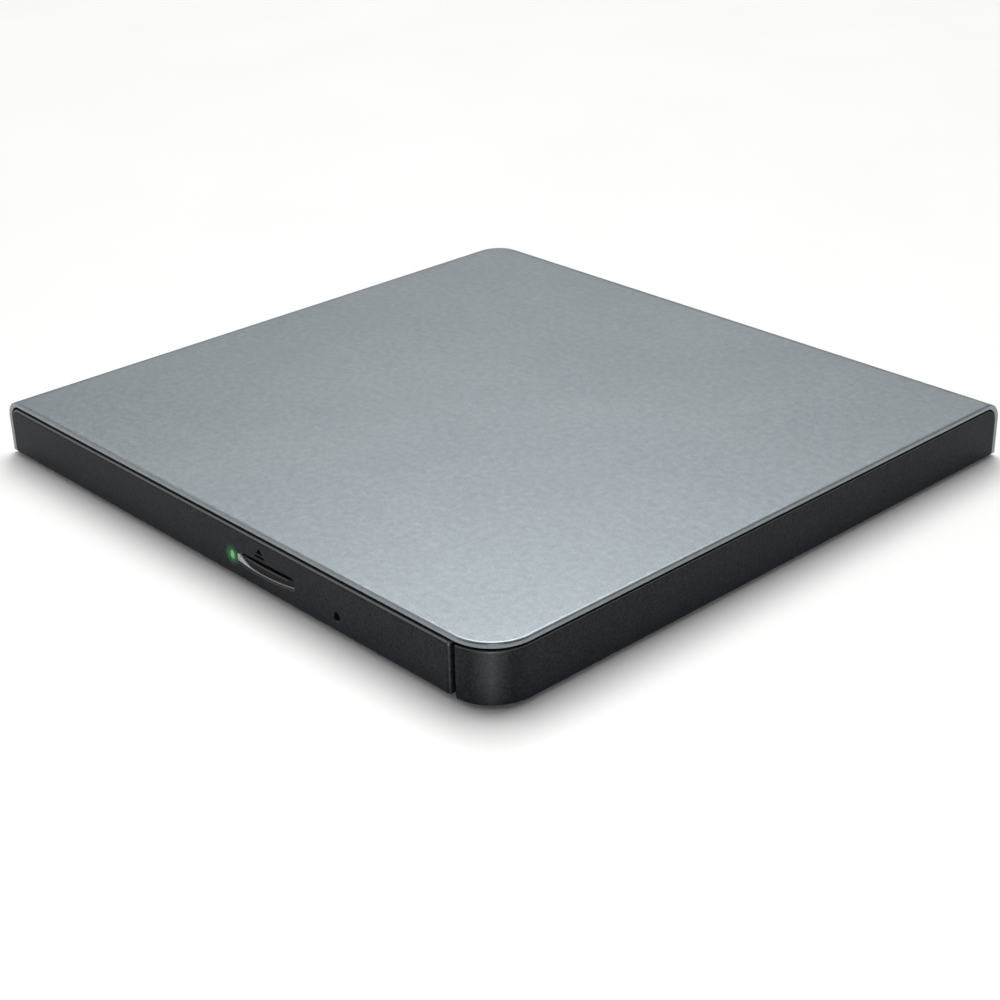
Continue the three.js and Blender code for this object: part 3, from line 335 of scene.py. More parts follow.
def green_light():
    """A lit lens: whitish green in the middle, deeper green round its rim."""
    s = Shader("green_lens")
    core = s.spread(s.distance(LED_PLACE), 0.4 * MM, 1.2 * MM, 1.0, 0.0)
    haze = s.noise(0.4, 2.0)
    tone = s.mix(core, (0.02, 0.16, 0.035, 1), (0.14, 0.42, 0.15, 1))
    return s.set(
        Base_Color=s.scaled(tone, s.spread(haze, 0.3, 0.7, 0.85, 1.15)),
        Roughness=s.spread(haze, 0.3, 0.7, 0.2, 0.35),
        Emission_Color=tone, Emission_Strength=0.42,
    )


FINISH = {
    "silver_paint": satin_paint(),
    "case_black": black_case(),
    "rubber": moulded("rubber", grey(0.016), grey(0.022), (0.7, 0.9), 0.25, 0.02, 0.2, 4.0),
    "dark_steel": sheet_metal("dark_steel", 0.2, (0.3, 0.46), (1, 8, 1), 0.6),
    "steel": sheet_metal("steel", 0.52, (0.24, 0.4), (1, 14, 1)),
    "white_plastic": moulded(
        "white_plastic", grey(0.68, WARM), grey(0.6, WARM), (0.36, 0.5), 0.6, 0.006, 0.05,
    ),
    "circuit_board": circuit_board(),
    "chip_black": moulded("chip_black", grey(0.02), grey(0.028), (0.42, 0.6), 0.14, 0.008, 0.25, 3.0),
    "tray_black": moulded(
        "tray_black", grey(0.021, COOL), grey(0.026, COOL), (0.46, 0.66), 0.4, 0.02, 0.2, 18.0,
    ),
    "gloss_black": moulded(
        "gloss_black", grey(0.003, COOL), grey(0.005, COOL), (0.2, 0.3), 0.7, 0.002, 0.1, 4.0,
        Specular_IOR_Level=0.1,
    ),
    "ridge_black": moulded("ridge_black", grey(0.02), grey(0.03), (0.1, 0.16), 0.7, 0.001, 0.1, 4.0),
    "pale_clear": light_guide(),
    "green_lens": green_light(),
    "amber_film": ribbon_film(),
    "brass": sheet_metal("brass", 0.62, (0.22, 0.36), (6, 1, 1), 0.785, (1.0, 0.76, 0.36)),
    "lens_glass": coated_glass(),
    "bezel_black": lit_bezel(),
    "print_black": moulded(
        "print_black", grey(0.001), grey(0.002), (0.6, 0.75), 0.2, 0.004, 0.2, 2.0,
        Specular_IOR_Level=0.02,
    ),
    "label_film": moulded(
        "label_film", grey(0.46, COOL), grey(0.42, COOL), (0.3, 0.42), 0.9, 0.003, 0.04, 20.0,
    ),
    "solder": sheet_metal("solder", 0.66, (0.2, 0.34), (1, 2, 1)),
    "ceramic": moulded(
        "ceramic", (0.3, 0.2, 0.12, 1), (0.22, 0.14, 0.09, 1), (0.35, 0.5), 0.2, 0.004, 0.1, 1.0,
    ),
    "copper_wire": sheet_metal("copper_wire", 0.7, (0.25, 0.4), (4, 1, 1), 0.0, (1.0, 0.48, 0.26)),
}


# ------------------------------------------------------------------ mesh helpers, in millimetres
def arc(x, y, radius, start, end, segments):
    steps = [math.radians(start + (end - start) * i / segments) for i in range(segments + 1)]
    return [(x + radius * math.cos(a), y + radius * math.sin(a)) for a in steps]


def cornered(x0, x1, y0, y1, radii, segments=12):
    """A rectangle's outline. Radii go lower left, lower right, upper right, upper left."""
    lower_left, lower_right, upper_right, upper_left = radii
    outline = []
    for x, y, r, start in (
        (x1 - lower_right, y0 + lower_right, lower_right, -90),
        (x1 - upper_right, y1 - upper_right, upper_right, 0),
        (x0 + upper_left, y1 - upper_left, upper_left, 90),
        (x0 + lower_left, y0 + lower_left, lower_left, 180),
    ):
        outline += arc(x, y, r, start, start + 90, segments) if r > 0 else [(x, y)]
    return outline


def circle(x, y, radius, segments=64):
    return arc(x, y, radius, 0, 360 - 360 / segments, segments - 1)


def offset(outline, distance):
    """A counter-clockwise outline moved outwards by a distance, each corner along its bisector."""
    grown = []
    for i, (x, y) in enumerate(outline):
        before, after = outline[i - 1], outline[(i + 1) % len(outline)]
        into = Vector((x - before[0], y - before[1])).normalized()
        out = Vector((after[0] - x, after[1] - y)).normalized()
        normals = Vector((into.y, -into.x)), Vector((out.y, -out.x))
        outward = (normals[0] + normals[1]).normalized()
        reach = distance / max(0.3, outward.dot(normals[0]))
        grown.append((x + outward.x * reach, y + outward.y * reach))
    return grown


def stand(outline, level, plane):
    """A flat outline as points in space, at a level along the axis named by plane."""
    if plane == "z":
        return [(x, y, level) for x, y in outline]
    if plane == "y":
        return [(x, level, y) for x, y in outline]
    return [(level, x, y) for x, y in outline]


def add_object(name, bm):
    bmesh.ops.recalc_face_normals(bm, faces=bm.faces)
    mesh = bpy.data.meshes.new(name)
    bm.to_mesh(mesh)
    bm.free()
    obj = bpy.data.objects.new(name, mesh)
    SCENE.collection.objects.link(obj)
    return obj


def loft(name, rings, wrapped=False):
    """A closed mesh through rings of equal length, capped at its ends unless it wraps round."""
    bm = bmesh.new()
    loops = [[bm.verts.new(Vector(p) * MM) for p in ring] for ring in rings]
    pairs = list(zip(loops, loops[1:])) + ([(loops[-1], loops[0])] if wrapped else [])
    for a, b in pairs:
        for i in range(len(a)):
            j = (i + 1) % len(a)
            bm.faces.new((a[i], a[j], b[j], b[i]))
    if not wrapped:
        bm.faces.new(loops[0])
        bm.faces.new(loops[-1])
    return add_object(name, bm)


def prism(name, outline, a, b, plane="z", ease_a=0.0, ease_b=0.0, steps=4):
    """An outline given a thickness from a to b, with a rounded rim at either end."""
    quarter = [math.pi / 2 * i / steps for i in range(steps + 1)]
    start, end = [(0, a)], [(0, b)]
    if ease_a:
        start = [(-ease_a * (1 - math.sin(t)), a + ease_a * (1 - math.cos(t))) for t in quarter]
    if ease_b:
        end = [(-ease_b * (1 - math.cos(t)), b - ease_b * (1 - math.sin(t))) for t in quarter]
    rings = [stand(offset(outline, grow) if grow else outline, level, plane) for grow, level in start + end]
    return loft(name, rings)


def block(name, x0, x1, y0, y1, z0, z1):
    return loft(name, [stand([(x0, y0), (x1, y0), (x1, y1), (x0, y1)], z, "z") for z in (z0, z1)])


def lathe(name, profile, segments=64):
    """A piece turned about Z from [radius, z] points. Ends on the axis close it, or else it wraps round."""
    closed = profile[0][0] == 0 and profile[-1][0] == 0
    bm = bmesh.new()
    columns = []
    poles = [bm.verts.new(Vector((0, 0, z)) * MM) for _, z in (profile[0], profile[-1])] if closed else []
    inner = profile[1:-1] if closed else profile
    for i in range(segments):
        a = 2 * math.pi * i / segments
        c, s = math.cos(a), math.sin(a)
        columns.append([bm.verts.new(Vector((r * c, r * s, z)) * MM) for r, z in inner])
    for i, column in enumerate(columns):
        after = columns[(i + 1) % segments]
        for k in range(len(inner) - 1):
            bm.faces.new((column[k], after[k], after[k + 1], column[k + 1]))
        if closed:
            bm.faces.new((poles[0], after[0], column[0]))
            bm.faces.new((poles[1], column[-1], after[-1]))
        else:
            bm.faces.new((column[-1], after[-1], after[0], column[0]))
    return add_object(name, bm)


def settled(obj):
    """obj with its modifiers worked into its mesh."""
    bpy.context.view_layer.update()
    graph = bpy.context.evaluated_depsgraph_get()
    mesh = bpy.data.meshes.new_from_object(obj.evaluated_get(graph))
    obj.modifiers.clear()
    obj.data = mesh
    return obj


def combine(obj, how, *tools):
    """A boolean of obj with each tool in turn; the tools are used up."""
    for tool in tools:
        modifier = obj.modifiers.new("boolean", "BOOLEAN")
        modifier.operation, modifier.solver, modifier.object = how, "MANIFOLD", tool
    settled(obj)
    for tool in tools:
        bpy.data.objects.remove(tool)
    return obj


def cut(obj, *tools):
    return combine(obj, "DIFFERENCE", *tools)


def join(obj, *tools):
    return combine(obj, "UNION", *tools)


def common(obj, *tools):
    return combine(obj, "INTERSECT", *tools)


def eased(obj, width):
    """Breaks obj's edges with a small bevel."""
    modifier = obj.modifiers.new("edges", "BEVEL")
    modifier.width, modifier.segments = width * MM, 2
    modifier.limit_method, modifier.angle_limit = "ANGLE", math.radians(40)
    modifier.use_clamp_overlap = False
    return settled(obj)


def smoothed(obj):
    """Smooth shading that keeps flat faces flat."""
    obj.data.shade_smooth()
    obj.data.set_sharp_from_angle(angle=math.radians(32))
    modifier = obj.modifiers.new("normals", "WEIGHTED_NORMAL")
    modifier.keep_sharp, modifier.weight = True, 100
    return obj


def tidy(obj):
    """Merges doubled points and joins up flat faces."""
    bm = bmesh.new()
    bm.from_mesh(obj.data)
    bmesh.ops.remove_doubles(bm, verts=bm.verts, dist=0.0005 * MM)
    bmesh.ops.dissolve_limit(bm, angle_limit=math.radians(0.6), verts=bm.verts, edges=bm.edges)
    bm.to_mesh(obj.data)
    bm.free()
    return obj


def attach(obj, body, slot, finish=None):
    """obj rides on a body, in a finish of the record's slot."""
    obj.data.materials.clear()
    obj.data.materials.append(FINISH[finish or slot].material)
    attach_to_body(obj, body)
    return obj


def stands_for(obj, *nodes, finish=None):
    """obj is shown in place of these CAD nodes."""
    attach(obj, BODY_OF[nodes[0]], SLOT_OF[nodes[0]], finish)
    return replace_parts(obj, *nodes)


def refined(node, width):
    """A finer copy of a CAD node, shown in its place."""
    obj = bpy.data.objects.new(node + "_fine", NODES[node].data.copy())
    SCENE.collection.objects.link(obj)
    if obj.data.has_custom_normals:
        obj.data.attributes.remove(obj.data.attributes["custom_normal"])
    return stands_for(smoothed(eased(tidy(obj), width)), node)


# ------------------------------------------------------------------ case
cover_low, cover_high = corners("top_cover")
case_low, case_high = corners("bottom_case")
LEFT, REAR, BASE, TOP = cover_low.x, cover_high.y, cover_low.z, cover_high.z
RIGHT, FRONT, WALL_TOP = case_high.x, case_low.y, case_high.z
SKIN, ROLL, REAR_CORNER, FRONT_CORNER = 1.0, 4.0, 8.0, 9.0
EASE, SIDE_WALL, FIT, FLOOR = 0.5, 1.2, 0.35, 1.1
CORNER_POST = 63.9
FLOOR_TOP = BASE + FLOOR
COVER_UNDER = TOP - SKIN
SCREWS = [middle(f"case_screw_{i}")[:2] for i in range(1, 5)]
FEET = [middle(f"rubber_foot_{i}")[:2] for i in range(1, 5)]
USB_X, _, USB_Z = middle("usb_socket_shell")


def rolled_block(name, inset):
    """A block whose left and rear upper edges roll over; it runs on past the front and the right."""
    roll, corner, past, steps = ROLL - inset, REAR_CORNER - inset, 20, 12
    outline = cornered(LEFT + inset, RIGHT + past, FRONT - past, REAR - inset, [6, 6, 6, corner], 16)
    return prism(name, outline, BASE - past, TOP - inset, "z", 0, roll, steps)


def make_cover():
    trim = cornered(LEFT - 20, cover_high.x, cover_low.y, REAR + 20, [2, FRONT_CORNER - 0.4, 2, 2], 24)
    cover = common(rolled_block("cover_shell", 0), prism("trim", trim, BASE, TOP, "z", 0, EASE, 5))
    posts = [prism("boss", circle(x, y, 2.1, 32), FLOOR_TOP + 1.1, TOP - SKIN / 2) for x, y in SCREWS]
    holes = [prism("pilot", circle(x, y, 1.1, 24), BASE, COVER_UNDER - 1.5) for x, y in SCREWS]
    mouth = cornered(USB_X - 4.5, USB_X + 4.5, USB_Z - 2.65, USB_Z + 2.65, [0.8] * 4, 8)
    opening = loft("mouth", [
        stand(offset(mouth, grow), y, "y")
        for y, grow in ((REAR - 3, 0), (REAR - 0.3, 0), (REAR + 0.01, 0.3), (REAR + 1, 0.3))
    ])
    cut(cover, rolled_block("inside", SKIN))
    join(cover, *posts)
    cut(cover, opening, *holes)
    return stands_for(smoothed(tidy(cover)), "top_cover")


def make_bottom_case():
    wall_rear = REAR - SKIN - FIT
    inner_left = LEFT + SKIN + FIT
    floor_front = corners("tray_bezel")[1].y + FIT
    plan = cornered(LEFT, RIGHT, FRONT, REAR + 20, [0, FRONT_CORNER, 0, 0], 32)
    inner_corner = FRONT_CORNER - SIDE_WALL
    inside = cornered(
        LEFT - 1, RIGHT - SIDE_WALL, FRONT + SIDE_WALL, REAR + 30, [0, inner_corner, 0, 0], 24,
    )
    shell = prism("case_shell", plan, BASE, WALL_TOP, "z", 0.45, 0.3, 4)
    ring = cut(shell, prism("inside", inside, BASE - 1, TOP))
    band = cornered(FRONT - 1, wall_rear, BASE - 1, WALL_TOP, [0, 0, ROLL - SKIN - FIT, 0], 16)
    common(ring, prism("band", band, RIGHT - 20, RIGHT + 1, "x", 0, 0.4, 4))
    zone = join(
        block("zone", CORNER_POST, RIGHT + 1, FRONT - 1, FRONT + 12, BASE - 1, TOP),
        block("zone_side", RIGHT - SIDE_WALL - 0.2, RIGHT + 1, FRONT + 8, REAR + 1, BASE - 1, TOP),
    )
    common(ring, zone)
    rear_corner = REAR_CORNER - SKIN - FIT
    floor_plan = cornered(inner_left, RIGHT + 5, floor_front, wall_rear, [0, 0, 0, rear_corner], 16)
    lower = prism("lower", plan, BASE, FLOOR_TOP, "z", 0.45, 0, 4)
    floor = common(lower, prism("floor_plan", floor_plan, BASE - 1, FLOOR_TOP + 1))
    corner = common(
        prism("lower_corner", plan, BASE, FLOOR_TOP, "z", 0.45, 0, 4),
        block("corner_zone", CORNER_POST, RIGHT + 1, FRONT - 1, FRONT + 20, BASE - 1, TOP),
    )
    walls = [
        block("bay", CORNER_POST, CORNER_POST + 1, FRONT + 0.6, FRONT + 10, BASE + 0.2, WALL_TOP - 0.4),
        block("left_rib", inner_left, inner_left + 0.9, floor_front + 1, REAR - 12, BASE + 0.5, 9),
        block("rear_rib", LEFT + 12, RIGHT - 1.5, wall_rear - 0.9, wall_rear, BASE + 0.5, 9),
    ]
    collars = [prism("collar", circle(x, y, 2.2, 32), BASE + 0.5, FLOOR_TOP + 0.8) for x, y in SCREWS]
    join(ring, floor, corner, *walls, *collars)
    shafts = [prism("shaft", circle(x, y, 1.35, 24), BASE - 1, TOP) for x, y in SCREWS]
    wells = [prism("well", circle(x, y, 2.2, 40), BASE - 1, BASE + 1) for x, y in SCREWS]
    pockets = [prism("pocket", circle(x, y, 5.3, 64), BASE - 1, BASE + 0.6) for x, y in FEET]
    label = prism("label_recess", cornered(-38, 38, -16, 26, [2] * 4, 8), BASE - 1, BASE + 0.25)
    way = block("usb_way", USB_X - 4.6, USB_X + 4.6, wall_rear - 2, wall_rear + 1, USB_Z - 2.85, TOP)
    cut(ring, *shafts, *wells, *pockets, label, way)
    return stands_for(smoothed(tidy(ring)), "bottom_case")


def make_foot(i, x, y):
    """A rubber disc with a rounded rim, and a hollow and a groove in its face."""
    low, high = corners(f"rubber_foot_{i}")
    r, z0, z1 = (high.x - low.x) / 2, low.z, high.z
    ring = z0 + 0.12
    face = [[0, ring], [1.3, ring], [1.5, z0], [2.7, z0], [2.85, ring], [3.15, ring], [3.3, z0]]
    ease = 0.35
    quarter = np.linspace(0, math.pi / 2, 6)
    rim = [[r - ease + ease * math.sin(a), z0 + ease * (1 - math.cos(a))] for a in quarter]
    foot = lathe(f"foot_{i}", face + rim + [[r, z1 - 0.1], [r - 0.1, z1], [0, z1]], 72)
    foot.data.transform(Matrix.Translation((x * MM, y * MM, 0)))
    stands_for(smoothed(foot), f"rubber_foot_{i}")


def make_screw(i, x, y):
    """A pan head with a cross recess, on a threaded shank."""
    low, high = corners(f"case_screw_{i}")
    r, z0, z1 = (high.x - low.x) / 2, low.z, high.z
    root, crest, pitch = 0.62, 0.8, 0.5
    head = [[0, 0], [r - 0.35, 0], [r - 0.12, 0.08], [r, 0.25], [r, 0.45], [crest, 0.62]]
    head = [[radius, z0 + z] for radius, z in head]
    thread = []
    z = z0 + 0.9
    while z < z1 - 0.7:
        thread += [[root, z], [crest, z + 0.15], [crest, z + 0.2], [root, z + 0.35]]
        z += pitch
    screw = lathe(f"screw_{i}", head + thread + [[root, z1 - 0.3], [0.35, z1], [0, z1]], 40)
    slots = []
    for along in (True, False):
        rings = []
        for z, long, short in ((z0 - 0.1, 1.15, 0.22), (z0 + 0.42, 0.8, 0.16)):
            a, b = (long, short) if along else (short, long)
            rings.append(stand([(-a, -b), (a, -b), (a, b), (-a, b)], z, "z"))
        slots.append(loft("slot", rings))
    cut(screw, *slots)
    turn = Matrix.Rotation(math.radians(17 + 31 * i), 4, "Z")
    screw.data.transform(Matrix.Translation((x * MM, y * MM, 0)) @ turn)
    stands_for(smoothed(screw), f"case_screw_{i}")


def make_underside():
    """The blank rating panel in its recess: a thin film with a printed frame line."""
    sheet = cornered(-37.7, 37.7, -15.7, 25.7, [1.8] * 4, 10)
    panel = prism("label_panel", sheet, BASE + 0.13, BASE + 0.24, "z", 0.03)
    attach(smoothed(panel), "case", "case_black", "label_film")
    outer = cornered(-35.5, 35.5, -13.5, 23.5, [1.2] * 4, 8)
    line = prism("label_frame", outer, BASE + 0.115, BASE + 0.135)
    cut(line, prism("line_inside", offset(outer, -0.35), BASE, BASE + 1))
    attach(line, "case", "case_black", "print_black")


make_cover()
make_bottom_case()
for index, (foot_at, screw_at) in enumerate(zip(FEET, SCREWS), 1):
    make_foot(index, *foot_at)
    make_screw(index, *screw_at)
make_underside()


# ------------------------------------------------------------------ front panel
bezel_low, bezel_high = corners("tray_bezel")
PINHOLE = (34.04, BASE + 3.18, 0.85)


def curve(points, steps=14):
    """An outline of straight lines and quadratic curves: a plain point, or a (control, end) pair."""
    outline = [points[0]]
    for point in points[1:]:
        if not isinstance(point[0], tuple):
            outline.append(point)
            continue
        (cx, cy), (ex, ey) = point
        sx, sy = outline[-1]
        for i in range(1, steps + 1):
            t = i / steps
            outline.append((
                (1 - t) ** 2 * sx + 2 * t * (1 - t) * cx + t * t * ex,
                (1 - t) ** 2 * sy + 2 * t * (1 - t) * cy + t * t * ey,
            ))
    return outline


def raised(points):
    """Heights above the case's lower edge as heights above the table."""
    def lift(point):
        return point[0], point[1] + BASE
    return [tuple(lift(q) for q in p) if isinstance(p[0], tuple) else lift(p) for p in points]


OPENING = curve(raised([
    (5.8, 3.35), ((13.5, 2.1), (22.5, 3.7)), (22.5, 5.55), (22.2, 5.85), (6.3, 5.5), (5.8, 5.0),
]))
CRESCENT = curve(raised([
    (5.91, 3.45), ((13.5, 2.2), (22.4, 3.8)), (22.4, 3.95), ((15.5, 2.72), (10.4, 3.16)),
    ((8.2, 3.6), (6.6, 4.85)), (5.91, 4.8),
]))
BUTTON = curve(raised([
    (7.0, 5.0), ((8.4, 3.78), (10.45, 3.27)), ((15.5, 2.85), (22.15, 4.05)), (22.15, 5.3),
    ((14.6, 4.85), (8.2, 5.1)),
]))
RIDGE = curve(raised([
    (8.6, 4.9), ((14.6, 4.56), (20.6, 5.0)), (20.6, 4.86), ((14.6, 4.4), (8.6, 4.76)),
]))
TRIANGLE = raised([(12.0, 7.15), (14.0, 7.15), (13.0, 8.4)])
BAR = raised([(11.65, 6.38), (14.35, 6.38), (14.35, 6.84), (11.65, 6.84)])


def flared(name, outline, front, back, depth=0.12):
    """A cutter along Y whose front edge leaves a small chamfer."""
    levels = ((front - 1, depth), (front, depth), (front + depth, 0), (back + 1, 0))
    return loft(name, [stand(offset(outline, grow), y, "y") for y, grow in levels])


def make_bezel():
    low, high = bezel_low, bezel_high
    outline = cornered(low.x, high.x, low.z, high.z - GAP, [0.85, 0.85, 0.85, 2.6], 12)
    bezel = prism("front_bezel", outline, low.y, high.y, "y", ROUNDING, 0.4, 9)
    led = cornered(LED_X - 0.7, LED_X + 0.7, LED_LOW - 0.08, LED_HIGH + 0.08, [0.55] * 4, 10)
    x, z, r = PINHOLE
    marks = [prism("mark", o, low.y - 1, low.y + 0.07, "y") for o in (TRIANGLE, BAR)]
    cut(
        bezel, flared("opening", OPENING, low.y, high.y), flared("led", led, low.y, high.y, 0.06),
        flared("pinhole", circle(x, z, r, 40), low.y, high.y), *marks,
    )
    back = high.y - 0.1, high.y + 0.3
    join(bezel, *[block("rib", rib, rib + 0.8, *back, 3.4, 8.6) for rib in (-52, -34, -16, 40, 48)])
    stands_for(smoothed(tidy(bezel)), "tray_bezel", finish="bezel_black")
    for name, o in (("eject_mark_arrow", TRIANGLE), ("eject_mark_bar", BAR)):
        mark = prism(name, offset(o, -0.03), low.y + 0.015, low.y + 0.065, "y")
        attach(mark, "tray", "case_black", "print_black")


def make_button():
    """The dark boat-shaped key with a polished ridge near its top, and a stem that reaches back."""
    face = corners("led_light_guide")[0].y + 0.06
    key = prism("eject_key", BUTTON, face, face + 1.2, "y", 0.06, 0, 5)
    x, back = middle("eject_button").x, corners("eject_button")[1].y
    join(key, block("stem", x - 1.5, x + 1.5, face + 0.9, back, BASE + 4.0, BASE + 4.95))
    stands_for(smoothed(tidy(key)), "eject_button")
    ridge = prism("eject_key_ridge", RIDGE, face - 0.1, face + 0.2, "y", 0.05, 0, 3)
    attach(smoothed(ridge), "button", "gloss_black", "ridge_black")


def make_light():
    low, high = corners("led_light_guide")
    guide = prism("crescent_guide", CRESCENT, low.y, high.y, "y", 0.05, 0, 3)
    stands_for(smoothed(guide), "led_light_guide")
    low, high = corners("status_led")
    outline = cornered(LED_X - 0.62, LED_X + 0.62, LED_LOW, LED_HIGH, [0.56] * 4, 12)
    lens = prism("light_lens", outline, low.y, high.y - 2.8, "y", 0.2, 0, 5)
    foot = block("light_body", low.x, high.x, high.y - 3.0, high.y, low.z, min(high.z, 5.7))
    stands_for(smoothed(tidy(join(lens, foot))), "status_led")


make_bezel()
make_button()
make_light()


# ------------------------------------------------------------------ tray and pickup
spindle_at = Vector(JOINTS["spindle_spin"]["pos_m"])
sled_axis = Vector(JOINTS["sled_slide"]["axis"])
TURN = math.atan2(sled_axis.y, sled_axis.x)
PICKUP = Matrix.Translation((spindle_at.x, spindle_at.y, 0)) @ Matrix.Rotation(TURN, 4, "Z")


def turned(obj, degrees):
    obj.data.transform(Matrix.Rotation(math.radians(degrees), 4, "Z"))
    return obj


def to_pickup(obj, turn=0.0):
    """Puts a piece made in the pickup's own frame into the drive."""
    obj.data.transform(PICKUP @ Matrix.Rotation(math.radians(turn), 4, "Z"))
    return obj


def make_spindle():
    """Rotor with its rubber ring, centring hub and three claws."""
    rotor = lathe("rotor", [
        [0, 3.6], [0.9, 3.6], [1.1, 3.8], [1.1, 6.9], [11.1, 6.9], [11.1, 5.1], [11.9, 5.1], [11.9, 7.3],
        [13.0, 7.3], [13.2, 7.45], [13.2, 7.95], [13.05, 8.1], [10.3, 8.1], [10.2, 8.02], [9.6, 8.02],
        [9.5, 8.1], [0, 8.1],
    ], 96)
    stands_for(smoothed(to_pickup(rotor)), "rotor_cup")
    pad = lathe("disc_pad", [
        [10.4, 8.15], [13.0, 8.15], [13.0, 8.3], [12.9, 8.4], [12.3, 8.4], [12.2, 8.32], [11.9, 8.32],
        [11.8, 8.4], [11.2, 8.4], [11.1, 8.32], [10.8, 8.32], [10.7, 8.4], [10.5, 8.4], [10.4, 8.3],
    ], 96)
    stands_for(smoothed(to_pickup(pad)), "turntable_pad")
    hub = lathe("hub", [
        [0, 8.2], [9.2, 8.2], [9.2, 8.35], [7.4, 8.5], [7.4, 9.2], [7.36, 9.4], [7.1, 9.7], [6.8, 9.88],
        [6.4, 10.0], [2.6, 10.0], [2.4, 9.95], [2.0, 9.65], [1.2, 9.65], [1.1, 9.5], [0, 9.5],
    ], 96)
    claws = 0, 120, 240
    slots = [turned(block("claw_slot", 3.8, 8.4, -1.6, 1.6, 8.7, 10.7), degrees) for degrees in claws]
    dimple = circle(4.6, 0, 0.8, 28)
    dimples = [turned(prism("dimple", dimple, 9.75, 11), degrees + 60) for degrees in claws]
    cut(hub, *slots, *dimples)
    stands_for(smoothed(to_pickup(hub)), "centring_hub")
    for i, degrees in enumerate(claws, 1):
        nose = arc(7.3, 9.43, 0.55, -70, 75, 9)
        profile = [(4.7, 8.95), (7.0, 8.95), *nose, (6.9, 9.95), (4.7, 9.95)]
        claw = prism(f"claw_{i}_tip", profile, -1.3, 1.3, "y", 0.12, 0.12, 2)
        stands_for(smoothed(to_pickup(claw, degrees)), f"hub_claw_{i}")


def make_lens():
    """The domed objective lens."""
    centre = middle("objective_lens")
    lens = lathe("lens", [
        [0, 6.5], [1.95, 6.5], [1.95, 7.1], [1.88, 7.16], [1.7, 7.3], [1.5, 7.46], [1.2, 7.6], [0.9, 7.68],
        [0.6, 7.73], [0.3, 7.75], [0, 7.755],
    ], 64)
    lens.data.transform(Matrix.Translation((centre.x * MM, centre.y * MM, 0)))
    stands_for(smoothed(lens), "objective_lens")


def make_lead_screw():
    """A shaft with a rolled helical thread."""
    start, end, pitch, low_r, high_r, around, along = 8.5, 60.0, 1.5, 0.78, 1.0, 24, 12
    aside = -19  # from the line that the pickup runs along
    rings = []
    count = int((end - 1 - (start + 2)) / pitch * along)
    for step in range(count + 1):
        u = start + 2 + step * pitch / along
        fade = min(1.0, step / along, (count - step) / along)
        ring = []
        for k in range(around):
            phase = (u / pitch - k / around) % 1.0
            lift = max(0.0, math.cos((phase - 0.5) * 2 * math.pi)) * fade
            r = low_r + (high_r - low_r) * min(1.0, 1.6 * lift)
            a = 2 * math.pi * k / around
            ring.append((u, r * math.cos(a), r * math.sin(a)))
        rings.append(ring)
    near = [(start - 2, 0.6), (start - 1.85, 0.75), (start + 1.9, 0.75)]
    far = [(end - 0.95, 0.75), (end - 0.15, 0.75), (end, 0.6)]
    near, far = ([stand(circle(0, 0, r, around), u, "x") for u, r in side] for side in (near, far))
    screw = loft("thread", near + rings + far)
    screw.data.transform(PICKUP @ Matrix.Translation(Vector((0, aside, middle("lead_screw").z)) * MM))
    stands_for(smoothed(screw), "lead_screw")


make_spindle()
make_lens()
make_lead_screw()
BEVELS = {
    "disc_tray": 0.16, "traverse_cover": 0.06, "tray_bottom_shield": 0.05, "traverse_chassis": 0.08,
    "drive_chassis": 0.05, "top_shield": 0.05, "left_rail_guide": 0.08, "right_rail_guide": 0.08,
    "left_slide_rail": 0.08, "right_slide_rail": 0.08, "latch_post": 0.12, "latch_hook": 0.1,
    "latch_solenoid": 0.2, "emergency_slider": 0.12, "tray_ejector": 0.2, "front_board": 0.04,
    "eject_switch": 0.1, "pickup_sled": 0.18, "sled_follower": 0.06, "lens_holder": 0.1,
    "guide_rod_1": 0.12, "guide_rod_2": 0.12, "sled_motor": 0.2, "spindle_stator": 0.06,
    "damper_1": 0.12, "damper_2": 0.12, "damper_3": 0.12, "main_board": 0.05, "flex_connector": 0.1,
    "usb_bridge_chip": 0.08, "controller_chip": 0.1, "motor_driver_chip": 0.1, "usb_socket_shell": 0.06,
    "usb_contact_tongue": 0.08,
}
for node_name, bevel in BEVELS.items():
    refined(node_name, bevel)


